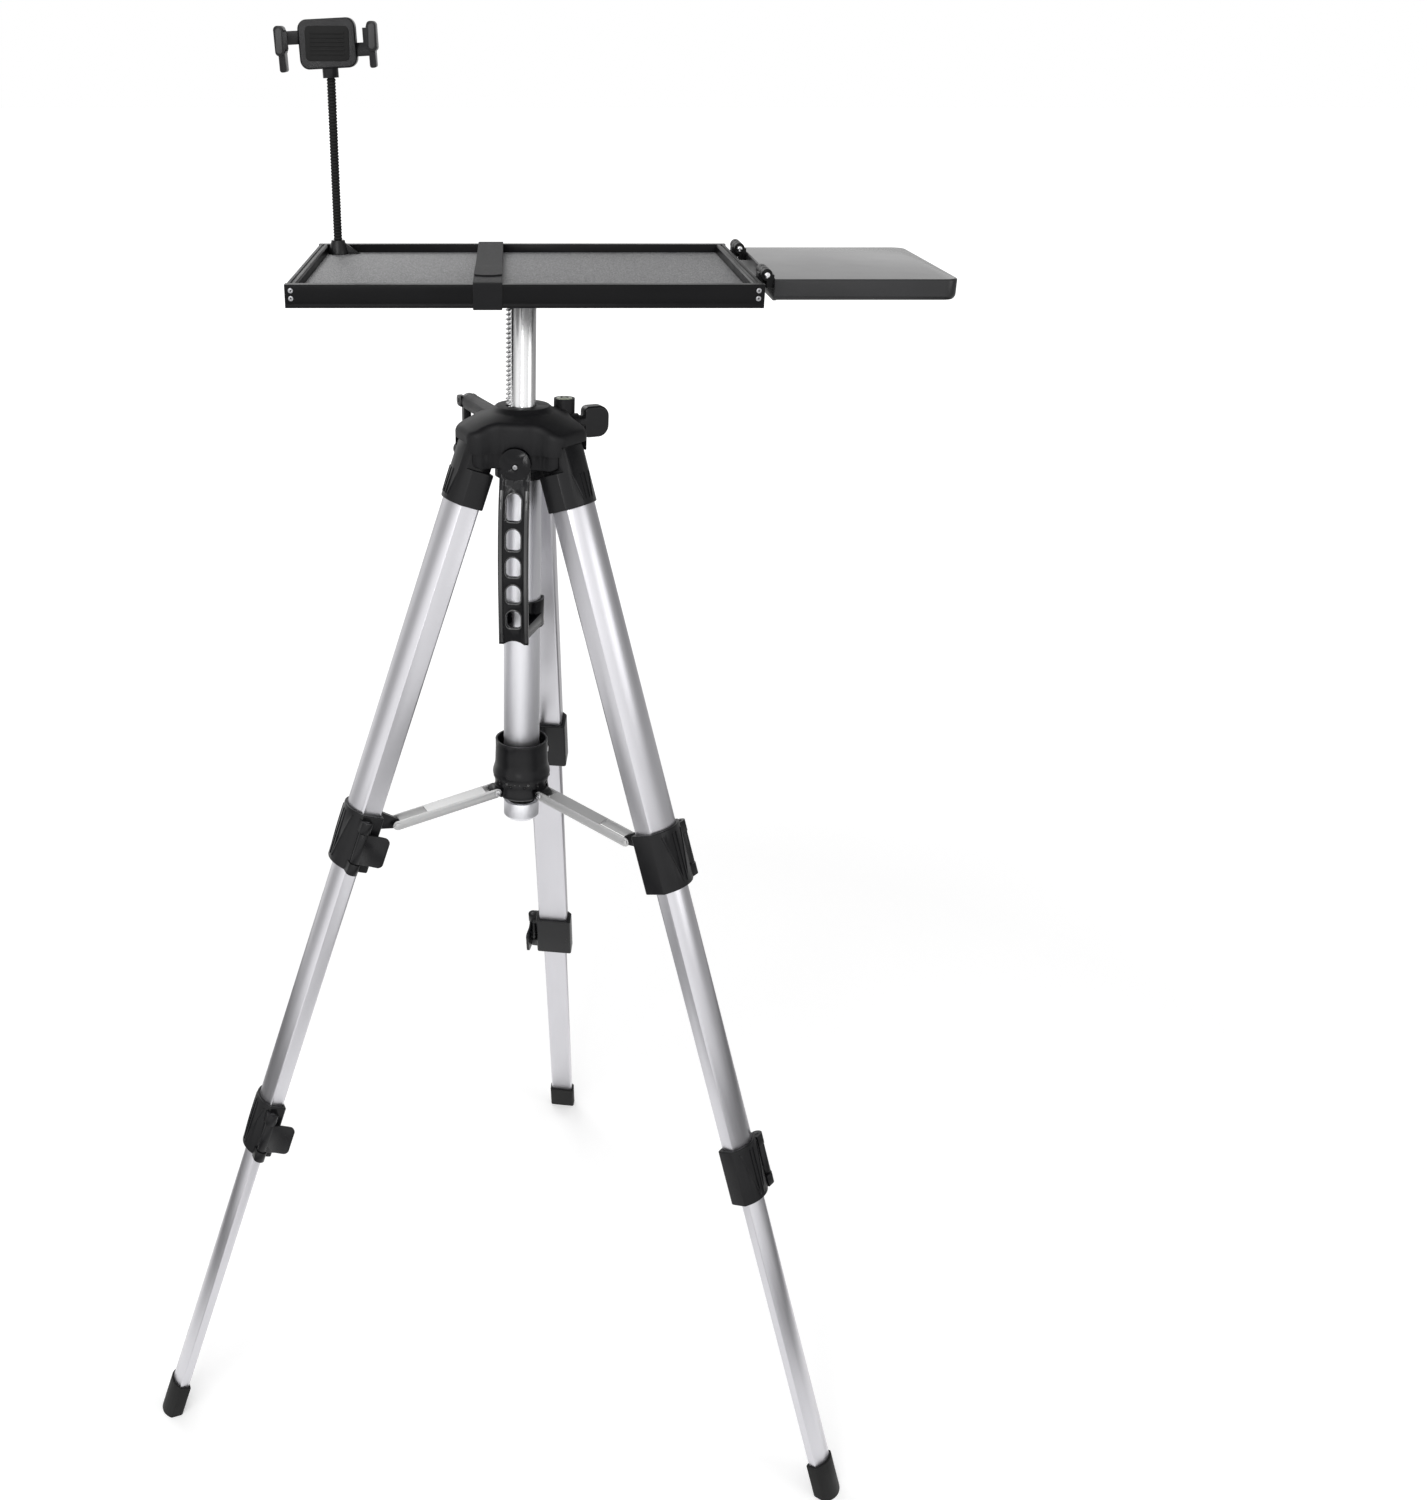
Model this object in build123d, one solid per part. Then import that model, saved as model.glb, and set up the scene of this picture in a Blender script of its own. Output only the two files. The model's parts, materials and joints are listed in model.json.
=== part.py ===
"""Portable projector stand: folding tripod, geared column, rimmed tray, side tray and phone holder.

Frame: the origin is on the floor under the column, +Z is up, -Y is the front, the tray runs along X.
All sizes are in millimetres. Heights of the hub set are counted from the leg pivots.
"""
import os
from math import cos, radians, sin

from build123d import *

# Whole stand
leg_length = 1080.0
leg_splay = 19.5
pivot_radius = 43.6
leg_angles = (201.0, 321.0, 81.0)
front_angle = 261.0
lock_angle = 21.0
level_angle = 32.5
pivot_height = leg_length * cos(radians(leg_splay))

# Leg sections: width across, thickness outwards, rise of the curved outer face,
# and the gaps round the tubes that slide inside
upper_width = 40.0
upper_thick = 27.5
upper_rise = 9.0
tube_wall = 1.4
mid_side_gap = 1.6
mid_face_gap = 2.35
lower_side_gap = 2.1
lower_face_gap = 1.6
rise_step = 2.0
section_corner = 2.5
upper_clamp_at = 386.0
lower_clamp_at = 712.0
tube_overlap = 42.0
tube_seat = 6.0
slide_gap = 0.3

# Sockets at the hub
socket_top = 20.0
socket_bottom = 53.0
socket_roof = 6.0
socket_wall = 2.2
neck_width = 35.0
neck_radius = 13.0
neck_fall = 7.0
leg_pin_radius = 4.0

# Raised lines on the sockets and clamps: two upright ones and a leaning one on each side
rib_height = 0.7
rib_width = 1.5
rib_margin = 5.0
rib_places = ((2.6, 0.0), (9.0, 14.0))

# Leg clamps and their levers
clamp_height = 58.0
clamp_side_wall = 4.0
clamp_face_wall = 2.5
clamp_edge = 1.2
lug_radius = 5.5
lug_low = 11.0
lug_high = 11.0
lug_drop = 4.0
lever_length = 26.0
lever_thick = 3.0
lever_flare = 2.0
lever_round = 5.0
lever_stand = 0.8
lever_pin_x = 2.0
pin_radius = 2.0
running_gap = 0.08
part_gap = 0.5

# Feet
foot_height = 38.0
foot_wall = 2.0
foot_floor = 12.0

# Spreader
fin_at = 368.0
fin_offset = 38.0
fin_thick = 5.0
fin_tip = 5.0
fin_root = 10.0
strut_angle = 80.5
collar_pivot_reach = 10.75
strut_width = 16.0
strut_depth = 9.0
strut_sheet = 1.5
strut_end = 4.2
fork_slot = 32.0
lug_slot = 11.0
rivet_radius = 3.0
lug_rise = 5.0
lug_room = 2.3
collar_top = 51.5
collar_bottom = -6.0
collar_cup = 12.0
collar_waist = 8.4
collar_bulge = 10.4
collar_rim = 7.8
dimple_count = 12
dimple_height = 9.5
dimple_radius = 1.8

# Hub casting
hub_core = 43.5
cheek_wall = 4.0
hub_lip = 1.9
hub_corner = 12.0
hub_blend = 14.0
hub_crown = 28.0
hub_shoulder = 13.5
hub_swell = 1.6
hub_edge = 7.0
hub_step = -3.5
hub_inset = 3.0
hub_bottom = -20.0
ring_radius = 28.0
ring_height = 3.5
barrel_wall = 7.75
barrel_bottom = -31.0
cheek_radius = 17.0
slot_mouth = 5.0
level_radius = 7.5
level_reach = 44.6
level_wall = 2.0
level_boss_low = 6.0

# Centre tube
rack_clear = 1.0
centre_wall = 1.25
tube_top = -6.0
tube_bottom = -348.0
cap_height = 27.0
cap_neck = 8.0
cap_neck_radius = 9.0
cap_plug = 6.0
cap_edge = 3.5

# Carry handle
handle_half = 13.5
handle_boss = 14.0
handle_boss_height = -11.0
handle_boss_root = 36.0
handle_boss_face = 46.5
handle_boss_gap = 0.6
handle_screw_height = -13.8
handle_screw = 2.8
handle_bottom = -176.0
handle_bow = 55.0
handle_thick = 5.0
handle_dish = 1.4
handle_rail = 4.5
handle_notch = 10.5
window_width = 13.0
window_corner = 3.5
window_spans = ((-36.0, -60.0), (-67.0, -86.0), (-92.5, -110.5), (-118.5, -135.5), (-143.0, -160.0))
clip_height = -160.0
clip_wall = 3.5
clip_width = 26.0
clip_arm_drop = 5.0
clip_arm_height = 12.0

# Column and drive
column_radius = 11.5
column_wall = 1.5
column_bottom = -262.0
rack_angle = 201.0
rack_width = 7.0
rack_base = 1.3
rack_pitch = 4.0
rack_tooth = 2.2
pinion_radius = 6.8
pinion_gap = 0.7
drive_height = 21.0
shaft_radius = 5.0
drive_boss = 8.0
drive_boss_end = 74.0
crank_plane = 86.0
crank_length = 50.0
crank_width = 7.0
crank_pin = 2.0
crank_knob_radius = 7.0
crank_knob_length = 19.0
prong_thick = 4.0
prong_half = 5.0
lock_height = 12.0
lock_boss_end = 53.0
lock_stem = 6.0
lock_wing_start = 58.0
lock_wing_end = 82.0
lock_wing_half = 14.0
lock_wing_thick = 12.0

# Tray
tray_width = 376.0
tray_depth = 264.0
tray_rise = 152.947
rail_height = 18.0
rail_width = 9.0
rim_rise = 7.0
plate_thick = 3.0
rail_edge = 1.2
rail_groove_depth = 0.6
rail_groove_low = 3.2
rail_groove_high = 4.4
end_groove_width = 1.6
end_groove_depth = 1.0
screw_radius = 2.1
screw_stand = 0.8
screw_inset = 5.0
screw_heights = (7.5, 13.5)
head_radius = 32.0
head_thick = 5.5
head_wall = 3.5
strap_width = 23.0
strap_thick = 1.6
strap_centre = -29.0

# Side tray
hinge_gap = 5.5
hinge_rise = 3.0
hinge_radius = 4.5
hinge_places = (-84.0, 84.0)
knuckle_length = 12.0
knuckle_gap = 0.8
tray_leaf_drop = 16.0
side_leaf_drop = 10.0
side_knuckle_end = 10.0
hinge_pin_end = 12.0
side_gap = 6.0
side_width = 148.0
side_depth = 206.0
side_sheet = 2.5
side_skirt = 17.0
side_corner = 12.0
side_under_edge = 5.0
side_top_edge = 1.0

# Phone holder
phone_lean = 2.75
neck_rod_radius = 4.0
phone_rise = 165.0
phone_opening = 72.0
phone_base_radius = 9.5
phone_base_top = 6.0
phone_base_height = 12.0
gusset_reach = 20.0
gusset_thick = 3.0
nut_radius = 12.0
nut_drop = 32.0
nut_below = 9.5
nut_stem = 5.0
neck_drop = 24.0
clamp_half = 25.0
clamp_front = 8.0
clamp_back = 7.0
clamp_low = 16.0
clamp_high = 24.0
clamp_corner = 8.0
clamp_stem = 7.0
clamp_stem_inset = 4.0
clamp_edge_front = 1.5
guide_front = 4.0
guide_back = 2.0
guide_below = 8.0
guide_above = 16.0
jaw_wall = 8.0
jaw_depth = 22.0
jaw_below = 4.0
jaw_above = 20.0
jaw_corner = 3.5
jaw_inward = 18.0
toe_below = 17.0
toe_set = 4.0
lip_inward = 3.5
lip_thick = 3.0
lip_low = 1.0
lip_high = 15.0

os.makedirs("parts", exist_ok=True)


def nested(size, side_gap, face_gap):
    """Width, thickness and rise of the tube that slides inside another one."""
    width, thick, rise = size
    return width - 2 * (tube_wall + side_gap), thick - 2 * (tube_wall + face_gap), rise - rise_step


# Sizes that follow from those above
rack_reach = column_radius + rack_base + rack_tooth
pinion_offset = rack_reach + pinion_radius + pinion_gap
tube_radius = rack_reach + rack_clear + centre_wall
barrel_radius = tube_radius + barrel_wall
cap_radius = tube_radius
collar_pivot = tube_radius + collar_pivot_reach
hub_half_width = neck_width / 2 + part_gap + cheek_wall + hub_inset
hub_reach = pivot_radius + neck_radius + hub_lip
tray_top = pivot_height + tray_rise
head_boss = column_radius + head_wall
phone_x = rail_width + part_gap + phone_base_radius - tray_width / 2
phone_y = tray_depth / 2 - rail_width - part_gap - phone_base_radius
phone_height = tray_top + phone_rise

upper_size = (upper_width, upper_thick, upper_rise)
mid_size = nested(upper_size, mid_side_gap, mid_face_gap)
lower_size = nested(mid_size, lower_side_gap, lower_face_gap)


def save(shape, name):
    """Write one node."""
    shape.label = name
    export_step(shape, "parts/" + name + ".step")


def larger(size, side, face):
    """Section that encloses another with given walls."""
    return size[0] + 2 * side, size[1] + 2 * face, size[2] + face * 0.7


upper_clamp_size = larger(upper_size, clamp_side_wall, clamp_face_wall)
lower_clamp_size = larger(mid_size, clamp_side_wall, clamp_face_wall)
socket_size = larger(upper_size, socket_wall, socket_wall)
foot_size = larger(lower_size, foot_wall, foot_wall)


def d_face(size, grow=0.0):
    """Leg section: flat inner face at -X, straight sides, curved outer face at +X."""
    width, thick, rise = size
    inner = -thick / 2 - grow
    side = width / 2 + grow
    shoulder = thick / 2 - rise
    outline = Polyline((shoulder, -side), (inner, -side), (inner, side), (shoulder, side))
    outline += ThreePointArc((shoulder, side), (thick / 2 + grow, 0), (shoulder, -side))
    face = make_face(outline)
    corners = face.vertices().filter_by(lambda v: v.X < inner + 0.01)
    return fillet(corners, section_corner + grow)


def d_bar(size, bottom, top, grow=0.0):
    """Solid leg section between two heights on the leg's own axis."""
    return extrude(Pos(0, 0, bottom) * d_face(size, grow), amount=top - bottom)


def d_tube(size, bottom, top):
    """Hollow leg section."""
    return d_bar(size, bottom, top) - d_bar(size, bottom - 1, top + 1, -tube_wall)


def rod(radius, start, end):
    """Round bar between two points."""
    direction = Vector(*end) - Vector(*start)
    plane = Plane(origin=start, z_dir=direction)
    return extrude(plane * Circle(radius), amount=direction.length)


def block(x0, x1, y0, y1, z0, z1):
    """Box by its limits."""
    centre = Pos((x0 + x1) / 2, (y0 + y1) / 2, (z0 + z1) / 2)
    return centre * Box(x1 - x0, y1 - y0, z1 - z0)


def around(angle):
    """Turn about the column axis."""
    return Rot(0, 0, angle)


def polar(angle, reach, height):
    """Point by its bearing, distance from the column axis and height."""
    return reach * cos(radians(angle)), reach * sin(radians(angle)), height


def leg_place(angle):
    """From a leg's own frame, pivot at the origin and foot towards -Z, to the stand."""
    return around(angle) * Pos(pivot_radius, 0, pivot_height) * Rot(0, -leg_splay, 0)


# Legs, each drawn once in its own frame


def ribs(size, bottom, top):
    """Raised lines on the curved face between two heights."""
    low = bottom + rib_margin
    high = top - rib_margin
    skin = d_bar(size, low, high, rib_height)
    bar = block(0, size[1], -rib_width / 2, rib_width / 2, bottom - top, top - bottom)
    lines = []
    for side in (-1, 1):
        for across, lean in rib_places:
            place = Pos(0, side * across, (low + high) / 2) * Rot(-side * lean, 0, 0)
            lines.append(place * bar & skin)
    return lines


def make_socket():
    body = d_bar(socket_size, -socket_bottom, -socket_top)
    ends = body.faces().sort_by(Axis.Z)
    body = fillet(ends[-1].edges() + ends[0].edges(), clamp_edge)
    for line in ribs(socket_size, -socket_bottom, -socket_top):
        body += line
    outer = socket_size[1] / 2
    root = -socket_top - socket_roof / 2
    outline = Polyline((-neck_radius, root), (outer, root), (outer, -neck_fall), (neck_radius, 0),
                       (-neck_radius, 0), (-neck_radius, root))
    neck = extrude(Plane.XZ * make_face(outline), amount=neck_width / 2, both=True)
    neck += rod(neck_radius, (0, -neck_width / 2, 0), (0, neck_width / 2, 0))
    body += neck & d_bar(socket_size, -socket_bottom, neck_radius + 1)
    body -= d_bar(upper_size, -socket_bottom - 1, -socket_top - socket_roof)
    return body - rod(leg_pin_radius + running_gap, (0, -neck_width, 0), (0, neck_width, 0))


def lever_pin_y(size):
    """How far out the lever of a clamp turns, in the leg's own frame."""
    return size[0] / 2 + lug_radius - 0.3


def lever_span(centre):
    """Heights between a clamp's two lugs."""
    half = clamp_height / 2
    return centre - half + lug_low, centre + half - lug_drop - lug_high


def make_clamp(size, outer_tube, inner_tube, centre):
    half = clamp_height / 2
    low = centre - half
    high = centre + half
    body = d_bar(size, low, high)
    ends = body.faces().sort_by(Axis.Z)
    body = fillet(ends[-1].edges() + ends[0].edges(), clamp_edge)
    for line in ribs(size, low, high):
        body += line
    x = lever_pin_x
    y = lever_pin_y(size)
    span = lever_span(centre)
    for z0, z1 in ((low, span[0]), (span[1], span[1] + lug_high)):
        body += rod(lug_radius, (x, y, z0), (x, y, z1))
        body += block(x - lug_radius, x + lug_radius, size[0] / 2 - 2, y, z0, z1)
    body += rod(pin_radius, (x, y, span[0] - 1), (x, y, span[1] + 1))
    body -= d_bar(outer_tube, centre - tube_seat, high + 1)
    return body - d_bar(inner_tube, low - 1, centre, slide_gap)


def make_lever(size, centre):
    """Barrel on the clamp's pin and a flap along the side, flared at its end."""
    x = lever_pin_x
    y = lever_pin_y(size)
    low = lever_span(centre)[0] + part_gap
    high = lever_span(centre)[1] - part_gap
    end = x - lever_length
    knee = (x + end) / 2
    y0 = y + lever_stand
    y1 = y0 + lever_thick
    outline = Polyline((x, y0), (knee, y0), (end, y0 + lever_flare), (end, y1 + lever_flare), (knee, y1),
                       (x, y1), (x, y0))
    flap = extrude(Pos(0, 0, low) * make_face(outline), amount=high - low)
    flap = fillet(flap.edges().filter_by(Axis.Y).group_by(Axis.X)[0], lever_round)
    lever = flap + rod(lug_radius - 0.6, (x, y, low), (x, y, high))
    return lever - rod(pin_radius + running_gap, (x, y, low - 1), (x, y, high + 1))


def make_fin():
    """Flat lug that the strut's fork reaches over."""
    root = -upper_clamp_size[1] / 2 + 1
    tip = -fin_offset
    outline = Polyline((root, fin_root), (tip, fin_tip), (tip, -fin_tip), (root, -fin_root), (root, fin_root))
    fin = extrude(Plane.XZ * make_face(outline), amount=fin_thick / 2, both=True)
    fin += rod(fin_tip, (tip, -fin_thick / 2, 0), (tip, fin_thick / 2, 0))
    return Pos(0, 0, -fin_at) * fin


def make_foot():
    """Rubber cap whose sole is level when the leg is splayed."""
    cap = d_bar(foot_size, -leg_length - foot_floor, -leg_length + foot_height)
    cap = fillet(cap.faces().sort_by(Axis.Z)[-1].edges(), foot_wall * 0.4)
    cap -= d_bar(lower_size, -leg_length + foot_floor, -leg_length + foot_height + 1)
    sole = Pos(0, 0, -leg_length) * Rot(0, leg_splay, 0) * Pos(0, 0, -50) * Box(200, 200, 100)
    return cap - sole


def make_legs():
    upper_clamp = make_clamp(upper_clamp_size, upper_size, mid_size, -upper_clamp_at) + make_fin()
    pieces = (
        ("socket", make_socket()),
        ("upper_tube", d_tube(upper_size, -upper_clamp_at - tube_seat, -socket_top - socket_roof)),
        ("upper_clamp", upper_clamp),
        ("upper_lever", make_lever(upper_clamp_size, -upper_clamp_at)),
        ("mid_tube", d_tube(mid_size, -lower_clamp_at - tube_seat, -upper_clamp_at + tube_overlap)),
        ("lower_clamp", make_clamp(lower_clamp_size, mid_size, lower_size, -lower_clamp_at)),
        ("lower_lever", make_lever(lower_clamp_size, -lower_clamp_at)),
        ("lower_tube", d_tube(lower_size, -leg_length + foot_floor, -lower_clamp_at + tube_overlap)),
        ("foot", make_foot()),
    )
    for number, angle in enumerate(leg_angles, start=1):
        for name, shape in pieces:
            save(leg_place(angle) * shape, "leg_" + str(number) + "_" + name)


# Spreader, with the strut drawn along +X from its collar pivot

splay = radians(leg_splay)
fin_radius = pivot_radius + fin_at * sin(splay) - fin_offset * cos(splay)
fin_height = pivot_height - fin_at * cos(splay) - fin_offset * sin(splay)
strut_length = (fin_radius - collar_pivot) / sin(radians(strut_angle))
collar_height = fin_height + strut_length * cos(radians(strut_angle))
lug_half = strut_width / 2 - strut_sheet - part_gap


def make_strut():
    half = strut_width / 2
    inside = half - strut_sheet
    body = block(0, strut_length, -half, half, strut_end - strut_depth, strut_end)
    for x in (0, strut_length):
        body += rod(strut_end, (x, -half, 0), (x, half, 0))
    body -= block(-20, strut_length + 20, -inside, inside, -40, strut_end - strut_sheet)
    body -= block(-20, lug_slot, -inside, inside, -40, 40)
    body -= block(strut_length - fork_slot, strut_length + 20, -inside, inside, -40, 40)
    for side in (-1, 1):
        body += rod(rivet_radius, (strut_length, side * half, 0), (strut_length, side * (half + 1.2), 0))
    return body - rod(pin_radius + running_gap, (0, -strut_width, 0), (0, strut_width, 0))


def make_collar():
    """Sliding sleeve: a cup at the top, a swelling with dimples under it, a skirt and three lugs."""
    bore = tube_radius + slide_gap
    rim = (bore + collar_rim, collar_top)
    outer = Spline((bore + 6.5, collar_bottom), (bore + 9.2, collar_bottom + 2.5), (bore + 8.8, 2),
                   (bore + collar_waist, 8), (bore + collar_bulge, 17.5), (bore + 8.6, 25),
                   (bore + 7.9, 34), (bore + 7.6, collar_top - 7), rim)
    inner = Polyline(rim, (bore + collar_rim - 1.8, collar_top), (bore + 5, collar_top - collar_cup),
                     (bore, collar_top - collar_cup - 2), (bore, collar_bottom), (bore + 6.5, collar_bottom))
    body = revolve(Plane.XZ * make_face(outer + inner), axis=Axis.Z)
    for index in range(dimple_count):
        spot = polar(index * 360 / dimple_count + 6, bore + collar_waist + 0.6, dimple_height)
        body -= Pos(*spot) * Sphere(dimple_radius)
    for angle in leg_angles:
        lug = block(bore + 2, collar_pivot, -lug_half, lug_half, -lug_rise, lug_rise)
        lug += rod(lug_rise, (collar_pivot, -lug_half, 0), (collar_pivot, lug_half, 0))
        inside = collar_pivot - strut_end - lug_room
        for side in (-1, 1):
            low, high = sorted((side * lug_half, side * (lug_half + strut_sheet + 4.5)))
            body -= around(angle) * block(inside, 60, low, high, collar_bottom - 1, strut_end + lug_room)
        body += around(angle) * lug
    return Pos(0, 0, collar_height) * body


def make_collar_pins():
    pins = []
    half = strut_width / 2
    for angle in leg_angles:
        pin = rod(pin_radius, (0, -half - 0.4, 0), (0, half + 0.4, 0))
        for side in (-1, 1):
            pin += rod(rivet_radius, (0, side * (half + 0.3), 0), (0, side * (half + 1.6), 0))
        pins.append(around(angle) * Pos(collar_pivot, 0, collar_height) * pin)
    return pins


def make_spreader():
    collar = make_collar()
    pins = make_collar_pins()
    for pin in pins:
        collar -= pin
    save(collar, "spreader_collar")
    save(Compound(children=pins), "collar_pins")
    strut = make_strut()
    for number, angle in enumerate(leg_angles, start=1):
        place = around(angle) * Pos(collar_pivot, 0, collar_height) * Rot(0, 90 - strut_angle, 0)
        save(place * strut, "strut_" + str(number))


# Hub casting with its yokes, and what is fixed to it


def drive_point(along, height=0.0, across=0.0):
    """Point by its distance along the crank shaft, and its offsets from the shaft's axis."""
    x0, y0, _ = polar(rack_angle, pinion_offset + across, 0)
    x1, y1, _ = polar(rack_angle - 90, along, 0)
    return x0 + x1, y0 + y1, drive_height + height


def hub_outline():
    """Rounded three-lobed outline of the casting."""
    outline = Sketch() + Circle(hub_core)
    for angle in leg_angles:
        lobe = Pos(hub_reach / 2, 0) * RectangleRounded(hub_reach, 2 * hub_half_width, hub_corner)
        outline += Rot(0, 0, angle) * lobe
    valleys = outline.vertices().filter_by(lambda v: v.X ** 2 + v.Y ** 2 < (hub_core + 1) ** 2)
    return fillet(valleys, hub_blend)


def hub_lower():
    """Lower tier, set in from the bell above it."""
    outline = offset(hub_outline(), amount=-hub_inset)
    return extrude(Pos(0, 0, hub_bottom) * outline, amount=hub_step - hub_bottom)


def hub_bell():
    """Upper tier under a sloping dome with a soft edge."""
    bell = extrude(Pos(0, 0, hub_step) * hub_outline(), amount=60)
    far = hub_reach + 10
    slope = (hub_crown - hub_shoulder) / (hub_reach - ring_radius)
    low = hub_crown - slope * (far - ring_radius)
    middle = ((ring_radius + far) / 2, (hub_crown + low) / 2 + hub_swell)
    profile = Polyline((ring_radius, hub_crown), (0, hub_crown), (0, hub_step - 1), (far, hub_step - 1),
                       (far, low))
    profile += ThreePointArc((far, low), middle, (ring_radius, hub_crown))
    bell &= revolve(Plane.XZ * make_face(profile), axis=Axis.Z)
    rim = bell.edges().filter_by(lambda e: hub_shoulder - 4 < e.center().Z < hub_crown - 0.5)
    rim = rim.filter_by(Axis.Z, reverse=True)
    return fillet(rim, hub_edge)


def yoke_space():
    """What one leg takes out of the casting: the slot for its neck, and room round the cheeks."""
    gap = neck_radius + part_gap
    half = neck_width / 2 + part_gap
    inside = pivot_radius - gap
    space = block(inside, 90, -half, half, -60, slot_mouth)
    space += rod(gap, (pivot_radius, -half, 0), (pivot_radius, half, 0))
    below = block(inside, 90, -45, 45, -60, hub_step)
    below -= block(0, pivot_radius, -60, 60, -cheek_radius, 60)
    below -= rod(cheek_radius, (pivot_radius, -60, 0), (pivot_radius, 60, 0))
    half = hub_half_width - hub_inset
    return space + below + rod(leg_pin_radius, (pivot_radius, -half, 0), (pivot_radius, half, 0))


def make_hub():
    body = hub_bell() + hub_lower()
    body += Pos(0, 0, hub_crown + ring_height / 2) * Cone(ring_radius, ring_radius - 4, ring_height)
    body += rod(barrel_radius, (0, 0, barrel_bottom), (0, 0, hub_bottom))
    body += rod(drive_boss, drive_point(0), drive_point(drive_boss_end))
    body += rod(drive_boss, polar(lock_angle, 10, lock_height), polar(lock_angle, lock_boss_end, lock_height))
    level = Pos(*polar(level_angle, level_reach, 0))
    level_top = hub_crown + ring_height + 1
    body += level * rod(level_radius + level_wall, (0, 0, level_boss_low), (0, 0, level_top))
    for angle in leg_angles:
        body -= around(angle) * yoke_space()
    arch = handle_boss + handle_boss_gap
    arch_start = (handle_boss_root - handle_boss_gap, 0, handle_boss_height)
    body -= around(front_angle) * rod(arch, arch_start, (90, 0, handle_boss_height)) - hub_lower()
    body -= rod(column_radius + slide_gap, (0, 0, -100), (0, 0, 100))
    body -= rod(tube_radius, (0, 0, -100), (0, 0, tube_top))
    groove = rack_width / 2 + part_gap
    body -= around(rack_angle) * block(0, rack_reach + part_gap, -groove, groove, -60, 60)
    body -= rod(shaft_radius + running_gap, drive_point(-14), drive_point(drive_boss_end + 10))
    body -= rod(pinion_radius + part_gap, drive_point(-5), drive_point(5))
    return body - level * rod(level_radius, (0, 0, hub_crown), (0, 0, level_top + 1))


def make_leg_pins():
    pins = []
    half = hub_half_width - hub_inset
    for angle in leg_angles:
        pin = rod(leg_pin_radius, (0, -half, 0), (0, half, 0))
        pins.append(around(angle) * Pos(pivot_radius, 0, pivot_height) * pin)
    return Compound(children=pins)


def handle_outline(outer_drop, inner_drop):
    """Side view of the handle between two depths below its outer face."""
    stations = ((handle_boss_height, handle_boss_face),
                (handle_boss_height - handle_boss, handle_boss_face + 1), (-42, handle_bow - 3),
                (-60, handle_bow), (-112, handle_bow + 1.5), (handle_bottom, handle_bow - 4))
    outer = [(r - outer_drop, z) for z, r in stations]
    inner = [(r - inner_drop, z) for z, r in stations]
    line = Spline(*outer) + Spline(*inner)
    line += Line(outer[0], inner[0]) + Line(outer[-1], inner[-1])
    return Plane.XZ * make_face(line)


def make_clip():
    """Two prongs that grip the centre tube, each on an arm from the handle's lower end."""
    low = clip_height - clip_width / 2
    high = clip_height + clip_width / 2
    clip = rod(tube_radius + clip_wall, (0, 0, low), (0, 0, high))
    clip -= block(-40, -tube_radius / 2, -30, 30, low - 1, high + 1)
    clip -= block(0, 40, -window_width / 2, window_width / 2, low - 1, high + 1)
    reach = handle_bow - handle_thick
    bottom = clip_height - clip_arm_drop - clip_arm_height / 2
    for side in (-1, 1):
        inner = side * (handle_half - 1 - clip_wall)
        outer = side * (handle_half - 1)
        root = side * (tube_radius - 1)
        outline = Polyline((8, root), (reach, inner), (reach, outer), (8, root + side * clip_wall), (8, root))
        clip += extrude(Pos(0, 0, bottom) * make_face(outline), amount=clip_arm_height)
    return clip - rod(tube_radius, (0, 0, low - 1), (0, 0, high + 1))


def make_handle():
    """Bowed carry handle with five windows, a round boss on the hub and its clip on the centre tube."""
    body = extrude(handle_outline(handle_dish, handle_thick), amount=handle_half, both=True)
    rail = extrude(handle_outline(0, handle_thick), amount=handle_rail)
    for side in (-1, 1):
        body += Pos(0, side * (handle_half - handle_rail / 2) + handle_rail / 2, 0) * rail
    for top, bottom in window_spans:
        height = top - bottom
        window = Rot(0, 0, 90) * SlotOverall(height, window_width)
        window += Pos(0, -height / 4) * RectangleRounded(window_width, height / 2, window_corner)
        body -= extrude(Plane.YZ.offset(30) * Pos(0, (top + bottom) / 2) * window, amount=50)
    notch = handle_bottom - handle_notch
    body -= rod(handle_half, (30, 0, notch), (90, 0, notch))
    boss_start = (handle_boss_root, 0, handle_boss_height)
    body += rod(handle_boss, boss_start, (handle_boss_face, 0, handle_boss_height))
    body -= rod(handle_screw, (handle_boss_face - 2, 0, handle_screw_height), (90, 0, handle_screw_height))
    body = around(front_angle) * (body + make_clip()) - hub_lower()
    return Pos(0, 0, pivot_height) * body


def make_hub_set():
    up = Pos(0, 0, pivot_height)
    save(up * make_hub(), "hub_casting")
    save(make_leg_pins(), "leg_pins")
    level = Pos(*polar(level_angle, level_reach, 0))
    vial = level * rod(level_radius, (0, 0, hub_crown), (0, 0, hub_crown + ring_height + 2))
    save(up * fillet(vial.edges().sort_by(Axis.Z)[-1], 1.0), "bubble_level")
    tube = rod(tube_radius, (0, 0, tube_bottom), (0, 0, tube_top))
    tube -= rod(tube_radius - centre_wall, (0, 0, tube_bottom - 1), (0, 0, tube_top + 1))
    save(up * tube, "centre_tube")
    cap = rod(cap_radius, (0, 0, tube_bottom - cap_height), (0, 0, tube_bottom - cap_neck))
    cap = chamfer(cap.edges().sort_by(Axis.Z)[0], cap_edge)
    cap += rod(cap_neck_radius, (0, 0, tube_bottom - cap_neck - 1), (0, 0, tube_bottom + 1))
    cap += rod(tube_radius - centre_wall, (0, 0, tube_bottom), (0, 0, tube_bottom + cap_plug))
    save(up * cap, "tube_end_cap")
    save(make_handle(), "carry_handle")


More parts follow.
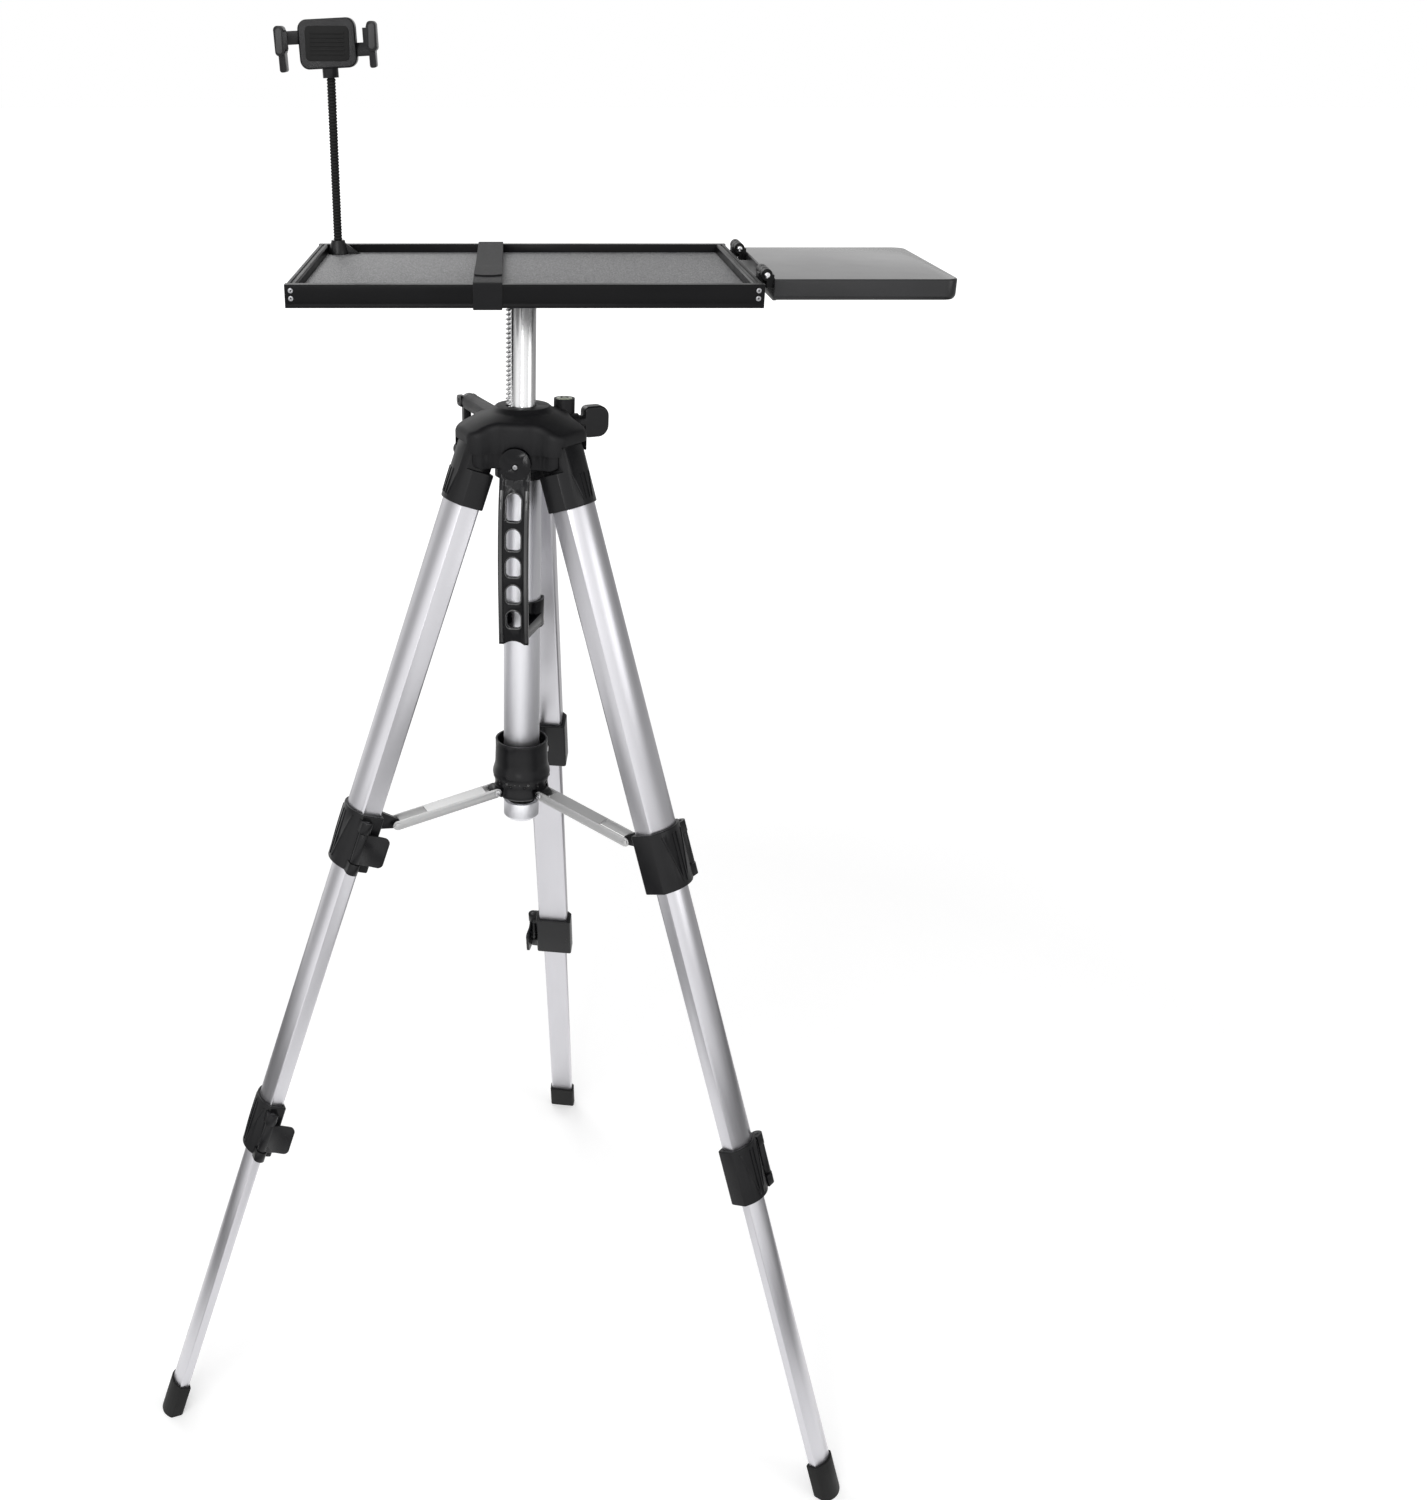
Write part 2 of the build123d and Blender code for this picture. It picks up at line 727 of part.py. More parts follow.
def make_drive():
    up = Pos(0, 0, pivot_height)
    shaft = rod(shaft_radius, drive_point(-12), drive_point(drive_boss_end + 2))
    shaft += rod(pinion_radius, drive_point(-4.5), drive_point(4.5))
    shaft += rod(drive_boss - 0.5, drive_point(drive_boss_end + part_gap), drive_point(drive_boss_end + 6))
    prong_inside = crank_width / 2 + part_gap
    start = drive_boss_end + 5
    end = crank_plane + prong_half
    turn = around(rack_angle - 90)
    for side in (-1, 1):
        low, high = sorted((side * prong_inside, side * (prong_inside + prong_thick)))
        prong = block(start, end, pinion_offset + low, pinion_offset + high,
                      drive_height - prong_half, drive_height + prong_half)
        prong = fillet(prong.edges().filter_by(Axis.Y).group_by(Axis.X)[-1], prong_half - 0.5)
        shaft += turn * prong
    reach = prong_inside + prong_thick + 0.5
    shaft += rod(crank_pin, drive_point(crank_plane, 0, -reach), drive_point(crank_plane, 0, reach))
    save(up * shaft, "crank_shaft")
    half = crank_width / 2
    arm = rod(half + 0.8, drive_point(crank_plane, 0, -half), drive_point(crank_plane, 0, half))
    arm += turn * block(crank_plane - half, crank_plane + half, pinion_offset - half, pinion_offset + half,
                        drive_height - crank_length, drive_height)
    near = drive_point(crank_plane - half, -crank_length)
    far = drive_point(crank_plane + half, -crank_length)
    arm += rod(half + 1.5, near, far)
    arm -= rod(crank_pin + running_gap, drive_point(crank_plane, 0, -9), drive_point(crank_plane, 0, 9))
    save(up * arm, "crank_arm")
    knob = rod(crank_knob_radius, far, drive_point(crank_plane + half + crank_knob_length, -crank_length))
    save(up * fillet(knob.edges(), 1.5), "crank_knob")
    stem_start = polar(lock_angle, lock_boss_end + part_gap, lock_height)
    stem = rod(lock_stem, stem_start, polar(lock_angle, lock_wing_start + 4, lock_height))
    wing = block(lock_wing_start, lock_wing_end, -lock_wing_thick / 2, lock_wing_thick / 2,
                 lock_height - lock_wing_half, lock_height + lock_wing_half)
    wing = fillet(wing.edges().filter_by(Axis.Y).group_by(Axis.X)[-1], lock_wing_half - 4)
    wing = fillet(wing.edges().filter_by(Axis.Y).group_by(Axis.X)[0], 5)
    wing = fillet(wing.faces().sort_by(Axis.Y)[0].edges() + wing.faces().sort_by(Axis.Y)[-1].edges(), 2)
    save(up * (stem + around(lock_angle) * wing), "lock_knob")


# Column with its rack


def make_column():
    plate_bottom = tray_top - rim_rise - plate_thick
    bottom = pivot_height + column_bottom
    top = plate_bottom - 2
    column = rod(column_radius, (0, 0, bottom), (0, 0, top))
    column -= rod(column_radius - column_wall, (0, 0, bottom - 1), (0, 0, top - 4))
    save(column, "column_tube")
    head_bottom = plate_bottom - head_thick - 18
    rack_top = head_bottom - 2
    rack_bottom = bottom + 20
    rack = block(0, rack_reach - rack_tooth, -rack_width / 2, rack_width / 2, rack_bottom, rack_top)
    count = int((rack_top - rack_bottom - 3) / rack_pitch)
    root = rack_reach - rack_tooth - 0.2
    for index in range(count):
        z = rack_bottom + 2 + index * rack_pitch
        outline = Polyline((root, z), (rack_reach, z + rack_pitch * 0.3), (rack_reach, z + rack_pitch * 0.5),
                           (root, z + rack_pitch * 0.8), (root, z))
        rack += extrude(Plane.XZ * make_face(outline), amount=rack_width / 2, both=True)
    rack -= rod(column_radius, (0, 0, bottom - 1), (0, 0, top))
    save(around(rack_angle) * rack, "column_rack")
    head = rod(head_radius, (0, 0, plate_bottom - head_thick), (0, 0, plate_bottom))
    head += rod(head_boss, (0, 0, head_bottom), (0, 0, plate_bottom - 1))
    save(head - column - rod(column_radius, (0, 0, bottom), (0, 0, top)), "column_head")


# Tray, strap, side tray


def make_tray():
    half_x = tray_width / 2
    half_y = tray_depth / 2
    bottom = tray_top - rail_height
    plate_top = tray_top - rim_rise
    inner_x = half_x - rail_width
    inner_y = half_y - rail_width
    save(block(-inner_x, inner_x, -inner_y, inner_y, plate_top - plate_thick, plate_top), "tray_plate")
    rails = []
    screws = []
    for side in (-1, 1):
        y0, y1 = sorted((side * inner_y, side * half_y))
        rail = block(-half_x, half_x, y0, y1, bottom, tray_top)
        outer_edges = rail.faces().sort_by(Axis.Y)[-1 if side > 0 else 0].edges()
        rail = fillet(outer_edges, rail_edge)
        cut = sorted((side * (half_y - rail_groove_depth), side * (half_y + 1)))
        rail -= block(-half_x - 1, half_x + 1, cut[0], cut[1],
                      bottom + rail_groove_low, bottom + rail_groove_high)
        rails.append(rail)
        for x in (screw_inset - half_x, half_x - screw_inset):
            for height in screw_heights:
                z = bottom + height
                head = rod(screw_radius, (x, side * half_y, z), (x, side * (half_y + screw_stand), z))
                screws.append(head)
    save(Compound(children=rails), "tray_long_rails")
    save(Compound(children=screws), "tray_screws")
    ends = []
    for side in (-1, 1):
        x0, x1 = sorted((side * inner_x, side * half_x))
        rail = block(x0, x1, -inner_y, inner_y, bottom, tray_top)
        top_edges = rail.faces().sort_by(Axis.Z)[-1].edges().filter_by(Axis.Y)
        rail = chamfer(top_edges, rail_edge)
        middle = side * (half_x - rail_width / 2)
        groove = end_groove_width / 2
        rail -= block(middle - groove, middle + groove, -half_y, half_y,
                      tray_top - end_groove_depth, tray_top + 1)
        ends.append(rail)
    save(Compound(children=ends), "tray_end_rails")
    strap = block(strap_centre - strap_width / 2, strap_centre + strap_width / 2,
                  -half_y - strap_thick, half_y + strap_thick, bottom - strap_thick, tray_top + strap_thick)
    strap -= block(-half_x, half_x, -half_y, half_y, bottom, tray_top)
    save(strap, "strap")


def make_hinges():
    """Knuckles of the tray on one node, those of the side tray and their pins on another."""
    half_x = tray_width / 2
    x = half_x + hinge_gap
    side_start = x + side_gap
    z = tray_top + hinge_rise
    half = knuckle_length / 2
    fixed = []
    moving = []
    for centre in hinge_places:
        knuckle = rod(hinge_radius, (x, centre - half, z), (x, centre + half, z))
        knuckle += block(half_x, x, centre - half, centre + half, z - tray_leaf_drop, z)
        knuckle -= rod(pin_radius + running_gap, (x, centre - 20, z), (x, centre + 20, z))
        fixed.append(knuckle)
        end = half + hinge_pin_end
        link = rod(pin_radius, (x, centre - end, z), (x, centre + end, z))
        for side in (-1, 1):
            y0, y1 = sorted((centre + side * (half + knuckle_gap), centre + side * (half + side_knuckle_end)))
            link += rod(hinge_radius, (x, y0, z), (x, y1, z))
            link += block(x, side_start, y0, y1, z - side_leaf_drop, z)
        moving.append(link)
    save(Compound(children=fixed), "tray_hinge")
    save(Compound(children=moving), "side_tray_hinge")


def make_side_tray():
    x0 = tray_width / 2 + hinge_gap + side_gap
    x1 = x0 + side_width
    half = side_depth / 2
    low = tray_top - side_skirt
    body = block(x0, x1, -half, half, low, tray_top)
    body = fillet(body.edges().filter_by(Axis.Z).group_by(Axis.X)[-1], side_corner)
    far = body.edges().filter_by(Axis.Y).group_by(Axis.X)[-1].sort_by(Axis.Z)[0]
    body = fillet(far, side_under_edge)
    body = chamfer(body.faces().sort_by(Axis.Z)[-1].edges(), side_top_edge)
    hollow = block(x0 + side_sheet, x1 - side_sheet, -half + side_sheet, half - side_sheet,
                   low - 1, tray_top - side_sheet)
    hollow = fillet(hollow.edges().filter_by(Axis.Z).group_by(Axis.X)[-1], side_corner - side_sheet)
    save(body - hollow, "side_tray")


# Phone holder


def make_jaw(side, guide_low, guide_high):
    """Arm in its half of the clamp's guide, a rounded pad with a lip round the phone's edge, and a toe."""
    near = phone_opening / 2
    back = guide_back - part_gap
    middle = (guide_low + guide_high) / 2
    arm_low, arm_high = (guide_low, middle) if side > 0 else (middle, guide_high)
    low, high = sorted((side * -jaw_inward, side * (near + jaw_wall / 2)))
    jaw = block(low, high, part_gap - guide_front, back, arm_low + part_gap, arm_high - part_gap)
    low, high = sorted((side * near, side * (near + jaw_wall)))
    pad = block(low, high, -jaw_depth, back, phone_height - jaw_below, phone_height + jaw_above)
    jaw += fillet(pad.edges().filter_by(Axis.Y), jaw_corner)
    low, high = sorted((side * (near + 0.5), side * (near + jaw_wall - 2)))
    toe = block(low, high, toe_set - jaw_depth, back, phone_height - toe_below, phone_height + 2)
    jaw += fillet(toe.edges().filter_by(Axis.Y), 2)
    low, high = sorted((side * (near - lip_inward), side * (near + lip_thick)))
    lip = block(low, high, -jaw_depth, lip_thick - jaw_depth, phone_height + lip_low, phone_height + lip_high)
    return jaw + lip


def make_phone_holder():
    plate_top = tray_top - rim_rise
    plate_bottom = plate_top - plate_thick
    here = Pos(phone_x, phone_y, 0)
    base_top = plate_top + phone_base_height
    cone = Cone(phone_base_radius, phone_base_top, phone_base_height)
    base = Pos(0, 0, plate_top + phone_base_height / 2) * cone
    gusset_top = base_top - 2
    outline = Polyline((0, plate_top), (gusset_reach, plate_top), (phone_base_top, gusset_top),
                       (0, gusset_top), (0, plate_top))
    base += extrude(Plane.XZ * make_face(outline), amount=gusset_thick / 2, both=True)
    save(here * base, "phone_base")
    nut_top = plate_bottom - nut_below
    nut = rod(nut_radius, (0, 0, plate_top - nut_drop), (0, 0, nut_top))
    nut = fillet(nut.edges(), 1.5)
    nut += rod(nut_stem, (0, 0, nut_top - 1), (0, 0, plate_bottom))
    save(here * nut, "phone_thumb_nut")
    rod_top = phone_height - neck_drop
    save(here * rod(neck_rod_radius, (0, 0, base_top), (0, 0, rod_top)), "gooseneck")
    head = here * Pos(0, 0, rod_top) * Rot(0, -phone_lean, 0) * Pos(0, 0, -rod_top)
    low = phone_height - clamp_low
    body = block(-clamp_half, clamp_half, -clamp_front, clamp_back, low, phone_height + clamp_high)
    body = fillet(body.edges().filter_by(Axis.Y), clamp_corner)
    body = fillet(body.faces().sort_by(Axis.Y)[0].edges(), clamp_edge_front)
    body += rod(clamp_stem, (0, 0, rod_top + part_gap), (0, 0, low + clamp_stem_inset))
    guide_low = phone_height - guide_below
    guide_high = phone_height + guide_above
    body -= block(-phone_opening, phone_opening, -guide_front, guide_back, guide_low, guide_high)
    save(head * body, "phone_clamp")
    for side, name in ((-1, "phone_jaw_left"), (1, "phone_jaw_right")):
        save(head * make_jaw(side, guide_low, guide_high), name)


make_legs()
make_spreader()
make_hub_set()
make_drive()
make_column()
make_tray()
make_hinges()
make_side_tray()
make_phone_holder()
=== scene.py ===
"""Looks of the portable projector stand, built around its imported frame.

Metres, +Z up, the front is -Y. Details on a leg are placed in the leg's own frame:
its origin is the pivot at the hub, +Z runs up the leg and +X points out of the curved face.
"""
import json
import math

import bmesh
import bpy
from mathutils import Matrix, Vector
from mathutils.bvhtree import BVHTree


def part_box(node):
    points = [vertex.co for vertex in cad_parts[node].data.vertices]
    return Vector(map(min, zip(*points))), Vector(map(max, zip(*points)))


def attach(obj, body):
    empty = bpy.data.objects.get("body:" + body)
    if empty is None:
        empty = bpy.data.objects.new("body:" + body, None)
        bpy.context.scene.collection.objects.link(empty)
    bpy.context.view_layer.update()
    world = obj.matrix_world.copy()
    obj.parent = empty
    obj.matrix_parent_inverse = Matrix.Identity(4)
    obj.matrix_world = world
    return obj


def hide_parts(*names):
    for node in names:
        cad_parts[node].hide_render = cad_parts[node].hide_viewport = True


MM = 0.001
LEGS = (1, 2, 3)

# Camera of the photograph, fitted to the feet, clamps and tray of the stand
IMAGE_WIDTH = 1427
IMAGE_HEIGHT = 1500
CAMERA_PLACE = (-0.0124, -1.4233, 1.3533)
CAMERA_PITCH = 25.04
CAMERA_REACH = 200.0
FOCAL_PIXELS = 1599.3
CENTRE_PIXEL = (508.8, 773.8)
SENSOR = 36.0

# Studio light, and what reflections see round the stand: degrees from the front, positive to the right,
# and strength
WORLD_LIGHT = 0.55
STUDIO_RING = ((-180, 0.7), (-132, 1.0), (-108, 0.6), (-88, 0.6), (-72, 1.1), (-56, 1.5), (-34, 1.25),
               (0, 1.25), (18, 1.45), (36, 1.2), (52, 1.0), (70, 0.7), (90, 0.45), (116, 0.35), (180, 0.7))

# Lamps: place, point that it looks at, width and height, power
LAMPS = {
    "key": ((-1.1, -2.7, 2.9), (0, 0, 0.7), (2.2, 2.0), 42),
    "fill": ((2.6, -1.6, 1.8), (0, 0, 0.8), (1.4, 1.8), 12),
    "back": ((-1.2, 2.4, 2.8), (0, 0, 0.8), (2.0, 1.4), 24),
    "glint": ((-0.5, -2.6, 1.35), (0, 0, 0.8), (0.3, 0.4), 5),
}

# Floor. Edges are distances from the stand's middle between which a value changes.
WHITE = (1, 1, 1, 1)
FLOOR_SIZE = 60.0
FLOOR_COLOUR = (0.8, 0.8, 0.8, 1)
FLOOR_ROUGHNESS = 0.9
FLOOR_GLOW = 0.36
FLOOR_FAR_GLOW = 0.8
FLOOR_FAR_EDGES = (1.2, 4.5)
FLOOR_SHINE = 0.55
FLOOR_SHINE_EDGES = (0.45, 0.85)
FLOOR_RING_EDGES = (1.3, 2.1)
FLOOR_UNLIT = 0.5
# Painted shade: a darker floor colour on both sides of the stand, seen only in reflections
FLOOR_SIDE_SHADE = (0.2, 0.2, 0.2, 1)
FLOOR_SIDE_EDGES = (0.5, 0.8)

# Patterns of the finishes: their sizes along the axes of the piece, and their shades
DRAW_LINES = (0.35 * MM, 0.35 * MM, 60 * MM)
DRAW_CLOUDS = (35 * MM, 35 * MM, 110 * MM)
DRAW_SHADE = 0.94
PLASTIC_FLOW = (28 * MM,) * 3
COAT_PEEL = (1.4 * MM,) * 3
COAT_CLOUDS = (60 * MM,) * 3
TRAY_SPECKS = (0.9 * MM,) * 3
TRAY_BLACK = (0.065, 0.065, 0.068)
TRAY_GREY = (0.33, 0.33, 0.335)
WEAVE_ACROSS = 1.1 * MM
WEAVE_ALONG = 1.5 * MM
WEAVE_SHARE = 0.25
WEAVE_PILE = (0.35 * MM,) * 3
WEAVE_DARK = (0.005, 0.005, 0.006)
WEAVE_LIGHT = (0.018, 0.018, 0.019)
VIAL_CLOUDS = (4 * MM,) * 3
VIAL_SHADE = 0.9

# Smooth film on top of the side tray, by how far a face looks up
FILM_ROUGHNESS = 0.2
FILM_EDGES = (0.85, 0.95)

# Softened edges of the CAD pieces
EDGE_ROUND = 0.45 * MM
EDGE_ANGLE = 38.0
FOOT_EDGE = 0.8 * MM
HANDLE_EDGE = 0.4 * MM
RAIL_EDGE = 0.3 * MM
SIDE_TRAY_EDGE = 0.5 * MM
STRUT_EDGE = 0.25 * MM
TUBE_EDGE = 0.2 * MM
FACET_GAP = 0.002 * MM
FLAT_ANGLE = 0.4
SAME_POINT = 0.01 * MM

# Strap. The section is in shares of the half width and the thickness.
STRAP_THICK = 1.5 * MM
STRAP_CORNER = 2.6 * MM
STRAP_SAG = 1.6 * MM
STRAP_START = -0.035
STRAP_LAP = 0.012
STRAP_TAIL = 0.062
STRAP_CLEAR = 0.1 * MM
STRAP_END_STEPS = 12
STRAP_TOP_STEPS = 20
STRAP_UNDER_STEPS = 24
STRAP_BEND_STEPS = 6
STRAP_SECTION = ((-1, -0.25), (-0.96, -0.5), (0.96, -0.5), (1, -0.25),
                 (1, 0.25), (0.96, 0.5), (-0.96, 0.5), (-1, 0.25))
TIP_LENGTH = 0.7
TIP_WIDTH = 0.3
STITCH_LENGTH = 2.4 * MM
STITCH_RADIUS = 0.28 * MM
STITCH_ROWS = (0.046, 0.051)
STITCH_COUNT = 7
STITCH_SPAN = 0.8
STITCH_SINK = 0.55
STITCH_PROFILE = ((0, 0), (1, 0.2), (1, 0.8), (0, 1))
STITCH_STEPS = 8

# Flexible neck and its nut. The ends of the nut's grip are shares of its radius and heights.
NECK_PITCH = 2.6 * MM
NECK_GROOVE = 0.75 * MM
NECK_SEAT = 0.45 * MM
NECK_PARTS = 6
NECK_STEPS = 20
NUT_FLUTES = 14
NUT_FLUTE_DEPTH = 0.1
NUT_GRIP = 0.6
NUT_STEM = 0.42
NUT_STEPS = 112
NUT_STEM_STEPS = 24
NUT_STEM_START = 1.9 * MM
NUT_LOWER_END = ((0.82, 0.0), (0.95, 0.8 * MM), (1, 2 * MM))
NUT_UPPER_END = ((1, 0.0), (0.94, 1.2 * MM), (0.8, 2 * MM), (NUT_STEM, 2 * MM))

# Rubber pads of the phone clamp, measured in the clamp's own frame
JAW_FACE = 36.0 * MM
JAW_FRONT = -22.0 * MM
JAW_LIP = 2.2 * MM
JAW_MIDDLE = 32.0 * MM
JAW_PAD = (16.0 * MM, 17.0 * MM)
JAW_PAD_CORNER = 2.5 * MM
JAW_RIBS = 5
JAW_TRIM = (5.2 * MM, 20.0 * MM)
JAW_TRIM_THICK = 0.6 * MM
JAW_TRIM_CORNER = 2.4 * MM
JAW_TRIM_OUT = 4.0 * MM
CLAMP_FRONT = -8.0 * MM
CLAMP_MIDDLE = 28.0 * MM
CLAMP_PAD = (38.0 * MM, 28.0 * MM)
CLAMP_PAD_CORNER = 4.0 * MM
CLAMP_RIBS = 6
PAD_THICK = 0.9 * MM
PAD_RIM = ((0, 0), (0.6, 0), (0.9, 0.2), (1, 0.5))
RIB_WIDTH = 0.5
RIB_CORNER = 0.24
RIB_RISE = 0.8
RIB_STEPS = 3

# Screws and pins: radius and height of the heads, and profiles in shares of these
CORNER_SCREW_ROLL = 0.4
HEAD_SCREW = (3.4 * MM, 1.8 * MM)
HEAD_SCREW_COUNT = 4
HEAD_SCREW_START = 45
HEAD_SCREW_REACH = 0.78
HEAD_SCREW_DROP = 5.5 * MM
HEAD_SCREW_ROLL = 0.3
HANDLE_SCREW = (2.4 * MM, 1.1 * MM)
HANDLE_SCREW_PLACE = (44.7 * MM, -13.8 * MM)
HINGE_PIN = (2.3 * MM, 1.1 * MM)
LEVER_PIN = (2.3 * MM, 0.7 * MM)
LUG_DROP = 4.0 * MM
SCREW_PROFILE = ((1, 0), (1, 0.45), (0.93, 0.78), (0.76, 0.96), (0.6, 1))
SCREW_STEPS = 24
RECESS_ARM = 0.46
RECESS_HALF = 0.12
RECESS_TAPER = 0.72
RECESS_DEPTH = 0.55
DOME_PROFILE = ((1, 0), (1, 0.35), (0.9, 0.65), (0.65, 0.9), (0.3, 1), (0, 1))

# Washer on the end cap
CAP_SHOULDER = 19.0 * MM
CAP_RING = (9.1 * MM, 13.5 * MM)
CAP_RING_TALL = 1.3 * MM
CAP_RING_EASE = (0.4 * CAP_RING_TALL, 0.7 * CAP_RING_TALL)
CAP_RING_STEPS = 40

# Studs round the collar: degrees from the middle between two struts, and radius
SMALL_STUD = 0.7 * MM
LARGE_STUD = 1.5 * MM
COLLAR_STUDS = ((-44, SMALL_STUD), (-23, LARGE_STUD), (-5, SMALL_STUD),
                (5, SMALL_STUD), (23, LARGE_STUD), (44, SMALL_STUD))
STUD_LEVEL = 0.68
STUD_RISE = 0.5
STUD_STEPS = 14

# Rings of the crank knob: shares of their pitch, and depth in shares of the radius
KNOB_GROOVES = 5
KNOB_GROOVE = ((0.2, 0), (0.35, 0.07), (0.65, 0.07), (0.8, 0))
KNOB_MARGIN = 3.5 * MM
KNOB_STEPS = 32
KNOB_END = ((0.75, 0.0), (0.94, 0.5 * MM), (1, 1.5 * MM))

# Round level, in shares of its radius and height
LENS_PROFILE = ((0, 0), (1, 0), (1, 0.7), (0.94, 0.84), (0.6, 0.96), (0, 1))
MARK_PROFILE = ((0.42, 0.985), (0.42, 1.02), (0.5, 1.015), (0.5, 0.97))
LEVEL_STEPS = 40

# Carry handle, in its own frame: +X points out of its face, and heights are counted from the leg pivots
HANDLE_ANGLE = 261.0
HANDLE_HALF = 13.5 * MM
HANDLE_RAIL = 4.5 * MM
HANDLE_DEPTH = 12.0 * MM
HANDLE_DISH = 1.4 * MM
HANDLE_RAIL_TOP = -30.0 * MM
RAIL_ROUND = (1.9 * MM, 1.3 * MM)
RAIL_START = 2.0 * MM
RAIL_SINK = 0.3 * MM
RAIL_STEPS = 40
RAIL_ARC_STEPS = 8
RAIL_END_STEPS = 3
WINDOW_HALF = 6.5 * MM
WINDOW_CORNER = 3.5 * MM
WINDOW_SPANS = ((-36.0, -60.0), (-67.0, -86.0), (-92.5, -110.5), (-118.5, -135.5), (-143.0, -160.0))
WINDOW_STEPS = 8
LIP_RADIUS = 0.8 * MM
LIP_STEPS = 10


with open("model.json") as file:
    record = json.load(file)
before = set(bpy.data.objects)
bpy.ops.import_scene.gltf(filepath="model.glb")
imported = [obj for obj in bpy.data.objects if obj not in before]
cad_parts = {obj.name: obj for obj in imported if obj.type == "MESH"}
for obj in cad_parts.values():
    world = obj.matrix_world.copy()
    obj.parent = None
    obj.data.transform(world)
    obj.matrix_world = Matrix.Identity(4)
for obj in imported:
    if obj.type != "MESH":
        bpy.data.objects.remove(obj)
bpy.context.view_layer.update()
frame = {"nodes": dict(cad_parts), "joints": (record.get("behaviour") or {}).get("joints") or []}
nodes = frame["nodes"]
joints = {joint["name"]: joint for joint in frame["joints"]}


# Places


def leg_frame(number):
    """A leg's own frame, from its fold axis and the direction its tubes slide in."""
    fold = joints[f"leg_{number}_fold"]
    up = Vector(joints[f"leg_{number}_mid_slide"]["axis"]).normalized()
    side = Vector(fold["axis"]).normalized()
    turn = Matrix((side.cross(up), side, up)).transposed()
    return Matrix.Translation(fold["pos_m"]) @ turn.to_4x4()


def facing(point, direction, roll=0.0):
    """Frame at a point whose Z axis looks along a direction."""
    turn = Vector(direction).to_track_quat("Z", "Y").to_matrix().to_4x4()
    return Matrix.Translation(point) @ turn @ Matrix.Rotation(roll, 4, "Z")


def underside(low, high, rise=0.0):
    """Frame at the middle of a box's underside, or some way above it."""
    return Matrix.Translation(((low.x + high.x) / 2, (low.y + high.y) / 2, low.z + rise))


def corners(points):
    """Lowest and highest corner of a group of points."""
    low = Vector([min(point[i] for point in points) for i in range(3)])
    high = Vector([max(point[i] for point in points) for i in range(3)])
    return low, high


def corners_in(node, place):
    """Corners of a CAD node, measured in a frame of its own."""
    inverse = place.inverted()
    return corners([inverse @ vertex.co for vertex in nodes[node].data.vertices])


def islands(node):
    """Corners of each loose solid in a CAD node."""
    mesh = bmesh.new()
    mesh.from_mesh(nodes[node].data)
    bmesh.ops.remove_doubles(mesh, verts=mesh.verts, dist=SAME_POINT)
    found = []
    seen = set()
    for start in mesh.verts:
        if start in seen:
            continue
        seen.add(start)
        group = [start]
        for vertex in group:
            for edge in vertex.link_edges:
                other = edge.other_vert(vertex)
                if other not in seen:
                    seen.add(other)
                    group.append(other)
        found.append(corners([vertex.co for vertex in group]))
    mesh.free()
    return found


# Materials


class Shading:
    """Short ways to build in a node tree."""

    def __init__(self, tree):
        self.tree = tree

    def node(self, kind, **settings):
        made = self.tree.nodes.new(kind)
        for name, value in settings.items():
            setattr(made, name, value)
        return made

    def feed(self, value, socket):
        """A value written into a socket, or another socket joined to it."""
        if isinstance(value, bpy.types.NodeSocket):
            self.tree.links.new(value, socket)
        else:
            socket.default_value = value

    def coordinates(self, kind):
        return self.node("ShaderNodeTexCoord").outputs[kind]

    def axes(self, kind):
        """X, Y and Z of one kind of coordinates."""
        split = self.node("ShaderNodeSeparateXYZ")
        self.feed(self.coordinates(kind), split.inputs["Vector"])
        return [split.outputs[name] for name in "XYZ"]

    def calc(self, operation, first, second=0.0):
        made = self.node("ShaderNodeMath", operation=operation)
        self.feed(first, made.inputs[0])
        self.feed(second, made.inputs[1])
        return made.outputs["Value"]

    def spread(self, factor, low, high, start=0.3, end=0.7):
        """The range of a texture from start to end, mapped to two values."""
        made = self.node("ShaderNodeMapRange")
        for name, value in (("From Min", start), ("From Max", end), ("To Min", low), ("To Max", high)):
            made.inputs[name].default_value = value
        self.feed(factor, made.inputs["Value"])
        return made.outputs["Result"]

    def mix(self, kind, factor, first, second):
        """Two numbers or two colours, as the kind says, mixed by a factor."""
        made = self.node("ShaderNodeMix", data_type=kind)
        self.feed(factor, made.inputs["Factor"])
        self.feed(first, made.inputs["A"])
        self.feed(second, made.inputs["B"])
        return made.outputs["Result"]

    def rays(self):
        """Whether a ray comes from the camera, and whether it comes from a mirror or through glass."""
        path = self.node("ShaderNodeLightPath")
        mirror = self.calc("MAXIMUM", path.outputs["Is Glossy Ray"], path.outputs["Is Transmission Ray"])
        return path.outputs["Is Camera Ray"], mirror


